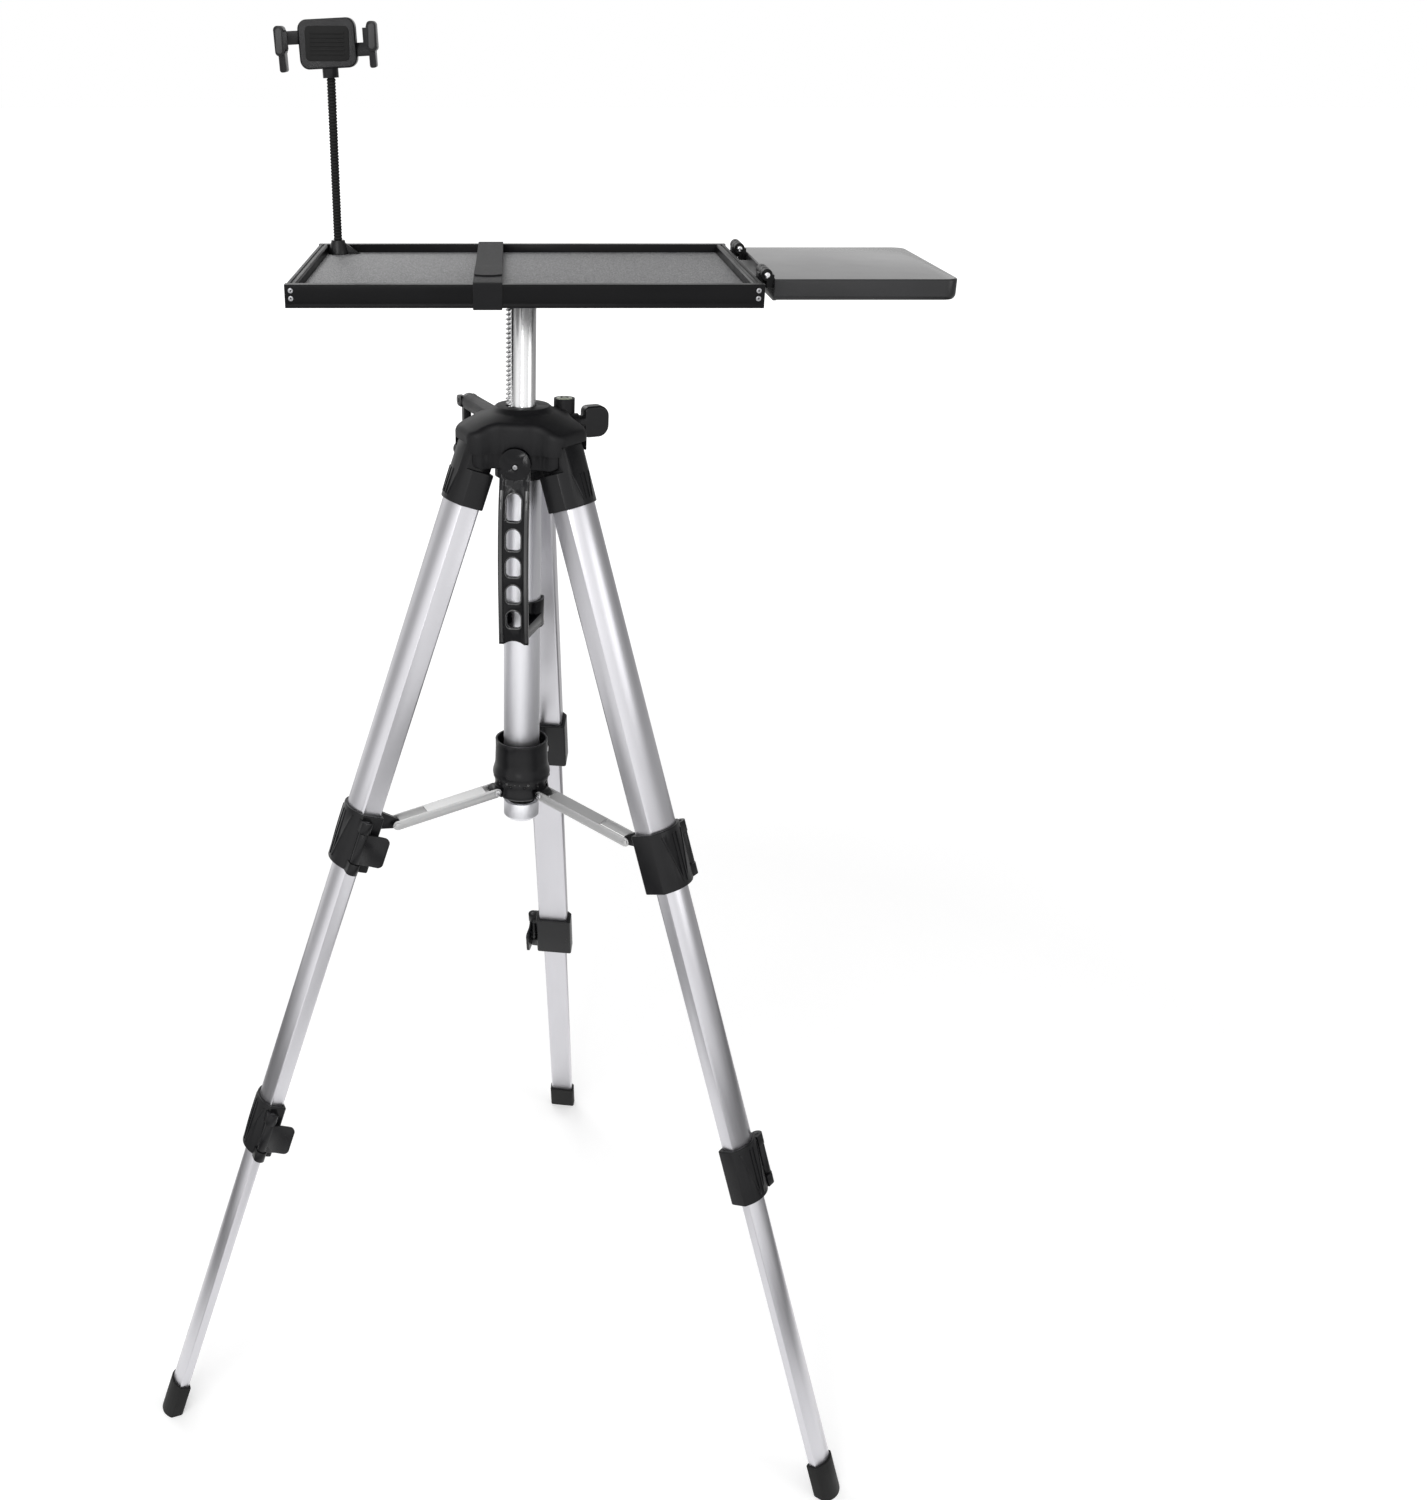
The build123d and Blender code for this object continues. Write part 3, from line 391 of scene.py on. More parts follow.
class Finish(Shading):
    """A material with one Principled shader, and short ways to drive its sockets from textures."""

    def __init__(self, name, **sockets):
        self.material = bpy.data.materials.new(name)
        self.material.use_nodes = True
        super().__init__(self.material.node_tree)
        self.shader = self.tree.nodes["Principled BSDF"]
        for socket, value in sockets.items():
            self.drive(socket.replace("_", " "), value)

    def drive(self, socket, value):
        self.feed(value, self.shader.inputs[socket])

    def noise(self, size, detail, turn=(0, 0, 0)):
        """Noise in the object's own coordinates, with a size along each axis of a turned frame."""
        mapping = self.node("ShaderNodeMapping", vector_type="TEXTURE")
        mapping.inputs["Rotation"].default_value = turn
        mapping.inputs["Scale"].default_value = size
        self.feed(self.coordinates("Object"), mapping.inputs["Vector"])
        made = self.node("ShaderNodeTexNoise")
        made.inputs["Scale"].default_value = 1.0
        made.inputs["Detail"].default_value = detail
        self.feed(mapping.outputs["Vector"], made.inputs["Vector"])
        return made.outputs["Fac"]

    def rough(self, factor, low, high):
        self.drive("Roughness", self.spread(factor, low, high))

    def colour(self, factor, dark, light, start=0.3, end=0.7):
        share = self.spread(factor, 0, 1, start, end)
        self.drive("Base Color", self.mix("RGBA", share, (*dark, 1), (*light, 1)))

    def bump(self, factor, depth, strength):
        made = self.node("ShaderNodeBump")
        made.inputs["Strength"].default_value = strength
        made.inputs["Distance"].default_value = depth
        self.feed(factor, made.inputs["Height"])
        self.drive("Normal", made.outputs["Normal"])


def aluminium(name, colour, low, high, turn=(0, 0, 0)):
    """Anodised extrusion with fine draw lines along one axis."""
    made = Finish(name, Metallic=1.0)
    lines = made.noise(DRAW_LINES, detail=3.0, turn=turn)
    clouds = made.noise(DRAW_CLOUDS, detail=2.0, turn=turn)
    made.colour(clouds, [value * DRAW_SHADE for value in colour], colour)
    made.rough(lines, low, high)
    made.bump(lines, depth=0.012 * MM, strength=0.22)
    return made.material


def moulded(name, dark, light, low, high, grain=0.55 * MM, depth=0.03 * MM, specular=0.35):
    """Injection moulded plastic with a fine eroded grain."""
    made = Finish(name, Specular_IOR_Level=specular)
    grains = made.noise((grain,) * 3, detail=2.0)
    flow = made.noise(PLASTIC_FLOW, detail=3.0)
    made.colour(flow, dark, light)
    made.rough(flow, low, high)
    made.bump(grains, depth, strength=0.5)
    return made.material


def painted(name, dark, light, low, high, specular, film=0.0):
    """Satin black coat with a slight orange peel, and a smooth film on the faces that look up."""
    made = Finish(name, Specular_IOR_Level=specular, Coat_Roughness=FILM_ROUGHNESS)
    if film:
        _, _, upward = made.axes("Normal")
        made.drive("Coat Weight", made.spread(upward, 0.0, film, *FILM_EDGES))
    peel = made.noise(COAT_PEEL, detail=1.0)
    clouds = made.noise(COAT_CLOUDS, detail=2.0)
    made.colour(clouds, dark, light)
    made.rough(clouds, low, high)
    made.bump(peel, depth=0.02 * MM, strength=0.4)
    return made.material


def speckled(name):
    """Textured tray sheet: black with fine grey specks."""
    made = Finish(name, Specular_IOR_Level=0.3)
    specks = made.noise(TRAY_SPECKS, detail=1.0)
    made.colour(specks, TRAY_BLACK, TRAY_GREY, start=0.4, end=0.64)
    made.rough(specks, low=0.48, high=0.62)
    made.bump(specks, depth=0.12 * MM, strength=0.6)
    return made.material


def webbing(name):
    """Woven band: ribs across and along, with a soft pile."""
    made = Finish(name, Specular_IOR_Level=0.15, Sheen_Weight=0.08, Sheen_Roughness=0.5)
    x, y, z = made.axes("Object")

    def wave(distance, length):
        return made.calc("SINE", made.calc("MULTIPLY", distance, 2 * math.pi / length))

    weave = made.calc("MULTIPLY", wave(x, WEAVE_ACROSS), wave(made.calc("ADD", y, z), WEAVE_ALONG))
    pile = made.noise(WEAVE_PILE, detail=3.0)
    height = made.calc("ADD", made.calc("MULTIPLY", weave, WEAVE_SHARE), pile)
    made.colour(height, WEAVE_DARK, WEAVE_LIGHT, start=0.2, end=0.8)
    made.rough(pile, low=0.7, high=0.9)
    made.bump(height, depth=0.25 * MM, strength=0.8)
    return made.material


def liquid(name, colour):
    """Tinted vial of the level."""
    made = Finish(name, Roughness=0.06, IOR=1.45, Transmission_Weight=0.35, Coat_Weight=0.6)
    clouds = made.noise(VIAL_CLOUDS, detail=1.0)
    made.colour(clouds, [value * VIAL_SHADE for value in colour], colour)
    return made.material


# Meshes


def put(name, mesh, material, body, place=None):
    """New piece from a bmesh, in place and riding on its body."""
    if place is not None:
        mesh.transform(place)
    bmesh.ops.recalc_face_normals(mesh, faces=mesh.faces)
    data = bpy.data.meshes.new(name)
    mesh.to_mesh(data)
    mesh.free()
    data.materials.append(material)
    data.shade_smooth()
    data.set_sharp_from_angle(angle=math.radians(EDGE_ANGLE))
    piece = bpy.data.objects.new(name, data)
    bpy.context.scene.collection.objects.link(piece)
    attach(piece, body)
    return piece


def at(mesh, place):
    """A bmesh moved to a place."""
    mesh.transform(place)
    return mesh


def merged(meshes):
    """Several bmeshes as one."""
    whole = bmesh.new()
    for mesh in meshes:
        part = bpy.data.meshes.new("part")
        mesh.to_mesh(part)
        mesh.free()
        whole.from_mesh(part)
        bpy.data.meshes.remove(part)
    return whole


def skin(mesh, first, second):
    """Faces between two closed rings, either of which may be a single point."""
    count = max(len(first), len(second))
    for index in range(count):
        after = (index + 1) % count
        if len(first) == 1:
            mesh.faces.new((first[0], second[after], second[index]))
        elif len(second) == 1:
            mesh.faces.new((first[index], first[after], second[0]))
        else:
            mesh.faces.new((first[index], first[after], second[after], second[index]))


def loft(mesh, rings, capped=True):
    """Faces over a row of rings, with flat ends where it is capped."""
    for first, second in zip(rings, rings[1:]):
        skin(mesh, first, second)
    if capped:
        mesh.faces.new(rings[0])
        mesh.faces.new(rings[-1])


def scaled(profile, radius, height):
    """Radius and height pairs from shares of both."""
    return [(radius * across, height * up) for across, up in profile]


def turned(profile, steps, flutes=0, flute_depth=0.0):
    """Shape of revolution about Z from radius and height pairs, with optional flutes round it."""
    mesh = bmesh.new()
    rings = []
    for radius, height in profile:
        if radius == 0:
            rings.append([mesh.verts.new((0, 0, height))])
            continue
        ring = []
        for index in range(steps):
            angle = 2 * math.pi * index / steps
            reach = radius * (1 - flute_depth * (0.5 - 0.5 * math.cos(flutes * angle)))
            ring.append(mesh.verts.new((reach * math.cos(angle), reach * math.sin(angle), height)))
        rings.append(ring)
    loft(mesh, rings, capped=False)
    return mesh


def dome(radius, height, steps=20):
    """Low rivet head, seated at z = 0."""
    return turned(scaled(DOME_PROFILE, radius, height), steps)


def cross_head(radius, height):
    """Pan head with a cross recess, seated at z = 0."""
    mesh = turned(scaled(SCREW_PROFILE, radius, height), SCREW_STEPS)
    mesh.verts.ensure_lookup_table()
    rim = mesh.verts[-SCREW_STEPS:]
    arm = RECESS_ARM * radius
    half = RECESS_HALF * radius
    outline = []
    for quarter in range(4):
        turn = Matrix.Rotation(quarter * math.pi / 2, 3, "Z")
        for point in ((arm, -half), (arm, half), (half, half)):
            outline.append(turn @ Vector((*point, height)))
    edge = [mesh.verts.new(point) for point in outline]
    bottom = height - RECESS_DEPTH * radius
    floor = [mesh.verts.new((RECESS_TAPER * p.x, RECESS_TAPER * p.y, bottom)) for p in outline]
    loops = []
    for ring in (rim, edge):
        for index, vertex in enumerate(ring):
            after = ring[(index + 1) % len(ring)]
            loops.append(mesh.edges.get((vertex, after)) or mesh.edges.new((vertex, after)))
    bmesh.ops.bridge_loops(mesh, edges=loops)
    skin(mesh, edge, floor)
    mesh.faces.new(floor)
    return mesh


def panel(width, height, thick, corner, steps=6):
    """Flat pad with round corners and an eased rim, seated at z = 0."""
    mesh = bmesh.new()
    rings = []
    for rise, inset in scaled(PAD_RIM, thick, thick):
        ring = []
        for quarter, (u, v) in enumerate(((1, 1), (-1, 1), (-1, -1), (1, -1))):
            centre = Vector((u * (width / 2 - corner), v * (height / 2 - corner), rise))
            for step in range(steps + 1):
                angle = (quarter + step / steps) * math.pi / 2
                out = Vector((math.cos(angle), math.sin(angle), 0))
                ring.append(mesh.verts.new(centre + out * (corner - inset)))
        rings.append(ring)
    loft(mesh, rings)
    return mesh


def ribbed_panel(width, height, thick, corner, count):
    """Pad with raised bars across it."""
    pieces = [panel(width, height, thick, corner)]
    pitch = (height - 2 * corner) / count
    rise = RIB_RISE * thick
    for index in range(count):
        bar = panel(width - 2 * corner, RIB_WIDTH * pitch, rise, RIB_CORNER * pitch, RIB_STEPS)
        place = Vector((0, (index - (count - 1) / 2) * pitch, rise))
        pieces.append(at(bar, Matrix.Translation(place)))
    return merged(pieces)


def bead(points, radius):
    """Round bead along a closed line of points."""
    mesh = bmesh.new()
    rings = []
    turns = [2 * math.pi * step / LIP_STEPS for step in range(LIP_STEPS)]
    for index, point in enumerate(points):
        after = points[(index + 1) % len(points)]
        along = (after - points[index - 1]).normalized()
        side = along.cross(Vector((1, 0, 0))).normalized()
        out = side.cross(along)
        places = [point + radius * (math.cos(a) * side + math.sin(a) * out) for a in turns]
        rings.append([mesh.verts.new(place) for place in places])
    loft(mesh, rings + rings[:1], capped=False)
    return mesh


# CAD nodes


def dress(node, material, edge):
    """A finish for a CAD node, with its facets joined and its sharp edges eased."""
    piece = nodes[node]
    piece.data.materials.clear()
    piece.data.materials.append(material)
    piece.data.polygons.foreach_set("use_smooth", [True] * len(piece.data.polygons))
    weld = piece.modifiers.new("join facets", "WELD")
    weld.merge_threshold = FACET_GAP
    flat = piece.modifiers.new("merge flats", "DECIMATE")
    flat.decimate_type = "DISSOLVE"
    flat.angle_limit = math.radians(FLAT_ANGLE)
    if edge:
        ease = piece.modifiers.new("ease edges", "BEVEL")
        ease.width = edge
        ease.segments = 2
        ease.limit_method = "ANGLE"
        ease.angle_limit = math.radians(EDGE_ANGLE)
        ease.harden_normals = True


def dress_legs(metals, plastic, lever, rubber):
    """Finishes for the nine pieces of each leg."""
    for number in LEGS:
        for material, edge, names in (
            (metals[number], TUBE_EDGE, ("upper_tube", "mid_tube", "lower_tube")),
            (plastic, EDGE_ROUND, ("socket", "upper_clamp", "lower_clamp")),
            (lever, EDGE_ROUND, ("upper_lever", "lower_lever")),
            (rubber, FOOT_EDGE, ("foot",)),
        ):
            for name in names:
                dress(f"leg_{number}_{name}", material, edge)


# Strap


def strap_route():
    """Side view of the strap's middle line, as pairs of Y and Z, from its hidden end to its tail."""
    low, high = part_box("strap")
    half = STRAP_THICK / 2
    corner = STRAP_CORNER
    front = low.y + half + corner
    back = high.y - half - corner
    bottom = low.z + half
    top = high.z - half
    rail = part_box("tray_plate")[1].y

    def hang(y, level):
        share = min(1.0, abs(y) / rail)
        return level - STRAP_SAG * (1 - share * share)

    def run(start, end, level, steps):
        stops = [start + (end - start) * index / steps for index in range(steps + 1)]
        return [(y, hang(y, level)) for y in stops]

    def bend(y, z, last):
        """Quarter turn about a point, up to an angle."""
        turns = [last - math.pi / 2 * index / STRAP_BEND_STEPS for index in range(STRAP_BEND_STEPS, -1, -1)]
        return [(y + corner * math.cos(a), z + corner * math.sin(a)) for a in turns]

    route = run(STRAP_START, front, top, STRAP_END_STEPS)[:-1]
    route += bend(front, top - corner, math.pi)
    route += bend(front, bottom + corner, 1.5 * math.pi)
    route += run(front, back, bottom, STRAP_UNDER_STEPS)[1:-1]
    route += bend(back, bottom + corner, 2 * math.pi)
    route += bend(back, top - corner, math.pi / 2)
    route += run(back, STRAP_START + STRAP_LAP, top, STRAP_TOP_STEPS)[1:]
    raised = top + STRAP_THICK + STRAP_CLEAR
    route += run(STRAP_START, STRAP_START - STRAP_TAIL, raised, STRAP_END_STEPS)
    return route


def strap_mesh(route, middle, half_width):
    """Band along its route, with a rounded tail."""
    mesh = bmesh.new()
    rings = []
    across = Vector((1, 0, 0))
    tip = half_width * TIP_LENGTH
    for index, (y, z) in enumerate(route):
        before = route[max(index - 1, 0)]
        after = route[min(index + 1, len(route) - 1)]
        along = Vector((0, after[0] - before[0], after[1] - before[1])).normalized()
        out = along.cross(across)
        left = math.dist((y, z), route[-1])
        width = half_width
        if index >= len(route) - STRAP_END_STEPS and left < tip:
            width *= TIP_WIDTH + (1 - TIP_WIDTH) * math.sqrt(1 - (1 - left / tip) ** 2)
        ring = []
        for u, v in STRAP_SECTION:
            offset = across * (u * width) + out * (v * STRAP_THICK)
            ring.append(mesh.verts.new(Vector((middle, y, z)) + offset))
        rings.append(ring)
    loft(mesh, rings)
    return mesh


def make_strap(material, thread):
    """Strap round the tray, with two rows of stitches across its tail."""
    low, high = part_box("strap")
    middle = (low.x + high.x) / 2
    half_width = (high.x - low.x) / 2
    route = strap_route()
    strap = put("strap_band", strap_mesh(route, middle, half_width), material, "column")
    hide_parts("strap")
    stitches = []
    top = max(z for _, z in route) + STRAP_THICK / 2
    for row in STITCH_ROWS:
        for index in range(STITCH_COUNT):
            x = middle + half_width * STITCH_SPAN * (2 * index / (STITCH_COUNT - 1) - 1)
            start = (x - STITCH_LENGTH / 2, STRAP_START - row, top - STRAP_SAG * STITCH_SINK)
            stitch = turned(scaled(STITCH_PROFILE, STITCH_RADIUS, STITCH_LENGTH), STITCH_STEPS)
            stitches.append(at(stitch, facing(start, (1, 0, 0))))
    seam = put("strap_stitches", merged(stitches), thread, "column")


# Phone holder


def make_neck(material):
    """Flexible neck wound of round wire, so that it is ribbed all the way."""
    low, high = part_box("gooseneck")
    radius = (high.x - low.x) / 2
    count = round((high.z - low.z) / NECK_PITCH)
    pitch = (high.z - low.z) / count
    profile = [(0, 0)]
    for index in range(count * NECK_PARTS + 1):
        wave = abs(math.sin(math.pi * index / NECK_PARTS))
        profile.append((radius - NECK_GROOVE * (1 - wave), index * pitch / NECK_PARTS))
    top = high.z - low.z + NECK_SEAT
    profile += [(radius - NECK_GROOVE, top), (0, top)]
    ribs = turned(profile, NECK_STEPS)
    neck = put("ribbed_neck", ribs, material, "column", underside(low, high))
    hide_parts("gooseneck")


def make_nut(material):
    """Thumb nut under the tray with a fluted grip."""
    low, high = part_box("phone_thumb_nut")
    radius = (high.x - low.x) / 2
    tall = high.z - low.z
    grip = tall * NUT_GRIP
    stem = radius * NUT_STEM
    profile = [(0, 0)]
    profile += [(radius * share, height) for share, height in NUT_LOWER_END]
    profile += [(radius * share, grip + height) for share, height in NUT_UPPER_END]
    flutes = turned(profile, NUT_STEPS, NUT_FLUTES, NUT_FLUTE_DEPTH)
    neck = turned([(stem, grip + NUT_STEM_START), (stem, tall), (0, tall)], NUT_STEM_STEPS)
    nut = put("fluted_nut", merged([flutes, neck]), material, "column", underside(low, high))
    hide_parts("phone_thumb_nut")


def phone_frame():
    """Frame of the leaning phone clamp: its origin is the swivel and +X runs along the jaw slides."""
    across = Vector(joints["phone_jaw_right_slide"]["axis"]).normalized()
    back = Vector((0, 1, 0))
    turn = Matrix((across, back, across.cross(back))).transposed()
    return Matrix.Translation(joints["phone_swivel"]["pos_m"]) @ turn.to_4x4()


def make_phone_pads(pad, trim):
    """Ribbed rubber inside the jaws and on the clamp, and soft trim on the jaws' fronts."""
    place = phone_frame()
    turn = place.to_3x3()
    for side, name in ((-1, "left"), (1, "right")):
        body = "phone_jaw_" + name
        inner = place @ Vector((side * JAW_FACE, JAW_FRONT / 2 + JAW_LIP, JAW_MIDDLE))
        ribs = ribbed_panel(*JAW_PAD, PAD_THICK, JAW_PAD_CORNER, JAW_RIBS)
        put(f"jaw_pad_{name}", ribs, pad, body, facing(inner, turn @ Vector((-side, 0, 0))))
        front = place @ Vector((side * (JAW_FACE + JAW_TRIM_OUT), JAW_FRONT, JAW_MIDDLE))
        cover = panel(*JAW_TRIM, JAW_TRIM_THICK, JAW_TRIM_CORNER)
        put(f"jaw_trim_{name}", cover, trim, body, facing(front, (0, -1, 0)))
    centre = place @ Vector((0, CLAMP_FRONT, CLAMP_MIDDLE))
    ribs = ribbed_panel(*CLAMP_PAD, PAD_THICK, CLAMP_PAD_CORNER, CLAMP_RIBS)
    put("clamp_pad", ribs, pad, "phone_clamp", facing(centre, (0, -1, 0)))


# Small hardware


def make_corner_screws(material):
    """Cross head screws of the tray's corners, where the CAD has plain ones."""
    heads = []
    for low, high in islands("tray_screws"):
        centre = (low + high) / 2
        side = math.copysign(1, centre.y)
        seat = Vector((centre.x, low.y if side > 0 else high.y, centre.z))
        head = cross_head((high.x - low.x) / 2, high.y - low.y)
        heads.append(at(head, facing(seat, (0, side, 0), CORNER_SCREW_ROLL)))
    corner = put("corner_screws", merged(heads), material, "column")
    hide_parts("tray_screws")


def make_head_screws(material):
    """Cross head screws under the column head."""
    low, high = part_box("column_head")
    reach = HEAD_SCREW_REACH * (high.x - low.x) / 2
    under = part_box("tray_plate")[0].z - HEAD_SCREW_DROP
    heads = []
    for index in range(HEAD_SCREW_COUNT):
        angle = math.radians(HEAD_SCREW_START + 360 / HEAD_SCREW_COUNT * index)
        seat = (reach * math.cos(angle), reach * math.sin(angle), under)
        heads.append(at(cross_head(*HEAD_SCREW), facing(seat, (0, 0, -1), HEAD_SCREW_ROLL * index)))
    put("head_screws", merged(heads), material, "column")


def make_handle_screw(material):
    """Cross head screw in the disc of the carry handle."""
    angle = math.radians(HANDLE_ANGLE)
    out = Vector((math.cos(angle), math.sin(angle), 0))
    reach, height = HANDLE_SCREW_PLACE
    seat = out * reach + Vector((0, 0, joints["leg_1_fold"]["pos_m"][2] + height))
    put("handle_screw", cross_head(*HANDLE_SCREW), material, "hub", facing(seat, out))


def make_hinge_pins(material):
    """Rounded ends of the side tray's hinge pins."""
    axis = joints["side_tray_fold"]["pos_m"]
    heads = []
    for low, high in islands("side_tray_hinge"):
        for y, way in ((low.y, -1), (high.y, 1)):
            seat = (axis[0], y, axis[2])
            heads.append(at(dome(*HINGE_PIN), facing(seat, (0, way, 0))))
    put("hinge_pin_ends", merged(heads), material, "side_tray")


def make_lever_pins(material):
    """Ends of the pins that the clamp levers turn on."""
    for number in LEGS:
        place = leg_frame(number)
        up = place.to_3x3() @ Vector((0, 0, 1))
        for level, body in (("upper", "upper"), ("lower", "mid")):
            low, high = corners_in(f"leg_{number}_{level}_clamp", place)
            pivot = place.inverted() @ Vector(joints[f"leg_{number}_{level}_lever_turn"]["pos_m"])
            heads = []
            for height, way in ((low.z, -1), (high.z - LUG_DROP, 1)):
                seat = place @ Vector((pivot.x, pivot.y, height))
                heads.append(at(dome(*LEVER_PIN), facing(seat, way * up)))
            put(f"leg_{number}_{level}_lever_pin", merged(heads), material, f"leg_{number}_{body}")


def make_cap_ring(material):
    """Dark washer on the shoulder of the centre tube's end cap."""
    low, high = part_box("tube_end_cap")
    inner, outer = CAP_RING
    ease, wall = CAP_RING_EASE
    ring = turned([(inner, 0), (outer, 0), (outer, wall), (outer - ease, CAP_RING_TALL),
                   (inner, CAP_RING_TALL), (inner, 0)], CAP_RING_STEPS)
    bmesh.ops.remove_doubles(ring, verts=ring.verts, dist=SAME_POINT)
    put("cap_washer", ring, material, "hub", underside(low, high, CAP_SHOULDER))


def make_collar_studs(material):
    """Small studs round the collar's waist, between the struts."""
    data = nodes["spreader_collar"].data
    faces = BVHTree.FromPolygons([v.co for v in data.vertices], [p.vertices for p in data.polygons])
    low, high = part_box("spreader_collar")
    centre = sum(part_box("column_tube"), Vector()) / 2
    centre.z = high.z - STUD_LEVEL * (high.z - low.z)
    reach = max(high.x - low.x, high.y - low.y)
    studs = []
    for number in LEGS:
        pivot = Vector(joints[f"strut_{number}_turn"]["pos_m"]) - centre
        middle = math.atan2(pivot.y, pivot.x) + math.pi / len(LEGS)
        for degrees, radius in COLLAR_STUDS:
            angle = middle + math.radians(degrees)
            out = Vector((math.cos(angle), math.sin(angle), 0))
            seat, normal, _, _ = faces.ray_cast(centre + reach * out, -out)
            studs.append(at(dome(radius, STUD_RISE * radius, STUD_STEPS), facing(seat, normal)))
    put("collar_studs", merged(studs), material, "collar")


def make_crank_knob(material):
    """Crank knob with rings for grip."""
    low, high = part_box("crank_knob")
    axis = Vector(joints["crank_turn"]["axis"]).normalized()
    radius = (high.z - low.z) / 2
    length = ((high - low).x - 2 * radius * abs(axis.y)) / abs(axis.x)
    profile = [(0, 0)]
    profile += [(share * radius, height) for share, height in KNOB_END]
    pitch = (length - 2 * KNOB_MARGIN) / KNOB_GROOVES
    for index in range(KNOB_GROOVES):
        for share, depth in KNOB_GROOVE:
            profile.append((radius * (1 - depth), KNOB_MARGIN + (index + share) * pitch))
    profile += [(share * radius, length - height) for share, height in reversed(KNOB_END)]
    profile.append((0, length))
    place = facing((low + high) / 2 - axis * (length / 2), axis)
    knob = put("ringed_knob", turned(profile, KNOB_STEPS), material, "crank_arm", place)
    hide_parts("crank_knob")


def make_level(vial, ring):
    """Round bubble level: a low lens over its liquid, with the ring it is read by."""
    low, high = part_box("bubble_level")
    radius = (high.x - low.x) / 2
    tall = high.z - low.z
    lens = turned(scaled(LENS_PROFILE, radius, tall), LEVEL_STEPS)
    piece = put("level_lens", lens, vial, "hub", underside(low, high))
    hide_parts("bubble_level")
    mark = turned(scaled(MARK_PROFILE, radius, tall), LEVEL_STEPS)
    put("level_mark", mark, ring, "hub", underside(low, high))


# Carry handle


def handle_face(place):
    """Outer face of the handle's rails from below upward, as height and reach in the handle's frame."""
    inverse = place.inverted()
    edge = {}
    for vertex in nodes["carry_handle"].data.vertices:
        point = inverse @ vertex.co
        if point.z < HANDLE_RAIL_TOP and abs(abs(point.y) - HANDLE_HALF) < SAME_POINT:
            height = round(point.z, 4)
            edge[height] = max(edge.get(height, 0), point.x)
    return sorted((z, x) for z, x in edge.items() if x > max(edge.values()) - HANDLE_DEPTH)


def reach_at(face, z):
    """Reach of the handle's face at a height."""
    for (z0, x0), (z1, x1) in zip(face, face[1:]):
        if z0 <= z <= z1:
            return x0 + (x1 - x0) * (z - z0) / (z1 - z0)
    return face[0][1] if z < face[0][0] else face[-1][1]


def handle_rail(face, side):
    """Rounded top of one rail of the handle."""
    low = face[0][0] + RAIL_START
    high = face[-1][0]
    half, rise = RAIL_ROUND
    middle = side * (HANDLE_HALF - HANDLE_RAIL / 2)
    mesh = bmesh.new()
    rings = []
    for index in range(RAIL_STEPS + 1):
        z = low + (high - low) * index / RAIL_STEPS
        ends = min(1.0, (index + 1) / RAIL_END_STEPS, (RAIL_STEPS + 1 - index) / RAIL_END_STEPS)
        ring = []
        for step in range(RAIL_ARC_STEPS + 1):
            angle = math.pi * step / RAIL_ARC_STEPS
            x = reach_at(face, z) - RAIL_SINK + (rise + RAIL_SINK) * math.sin(angle) * ends
            ring.append(mesh.verts.new((x, middle + half * math.cos(angle), z)))
        rings.append(ring)
    loft(mesh, rings)
    return mesh


def window_line(top, bottom):
    """Outline just outside a handle window, round above and with small corners below, as Y and Z pairs."""
    reach = WINDOW_HALF + LIP_RADIUS
    corner = WINDOW_CORNER + LIP_RADIUS
    line = []
    for index in range(2 * WINDOW_STEPS + 1):
        angle = math.pi * index / (2 * WINDOW_STEPS)
        line.append((reach * math.cos(angle), top - WINDOW_HALF + reach * math.sin(angle)))
    for side, first in ((-1, math.pi), (1, 1.5 * math.pi)):
        for index in range(WINDOW_STEPS + 1):
            angle = first + math.pi / 2 * index / WINDOW_STEPS
            line.append((side * (reach - corner) + corner * math.cos(angle),
                         bottom - LIP_RADIUS + corner + corner * math.sin(angle)))
    return line


def make_handle_trim(material):
    """Rounded tops of the handle's rails and raised lips round its windows."""
    place = Matrix.Translation((0, 0, joints["leg_1_fold"]["pos_m"][2]))
    place @= Matrix.Rotation(math.radians(HANDLE_ANGLE), 4, "Z")
    face = handle_face(place)
    pieces = [handle_rail(face, side) for side in (-1, 1)]
    for top, bottom in WINDOW_SPANS:
        line = window_line(top * MM, bottom * MM)
        points = [Vector((reach_at(face, z) - HANDLE_DISH, y, z)) for y, z in line]
        pieces.append(bead(points, LIP_RADIUS))
    put("handle_trim", merged(pieces), material, "hub", place)


# Studio


def studio_ring(shading, kind):
    """Strength of the studio's reflection, by the angle of a coordinate round the stand."""
    x, y, _ = shading.axes(kind)
    angle = shading.calc("ARCTAN2", x, shading.calc("MULTIPLY", y, -1.0))
    ring = shading.node("ShaderNodeValToRGB")
    ring.color_ramp.interpolation = "EASE"
    stops = ring.color_ramp.elements
    while len(stops) < len(STUDIO_RING):
        stops.new(1.0)
    for stop, (degrees, strength) in zip(stops, STUDIO_RING):
        stop.position = degrees / 360 + 0.5
        stop.color = (strength, strength, strength, 1)
    shading.feed(shading.spread(angle, 0, 1, -math.pi, math.pi), ring.inputs["Fac"])
    return ring.outputs["Color"]


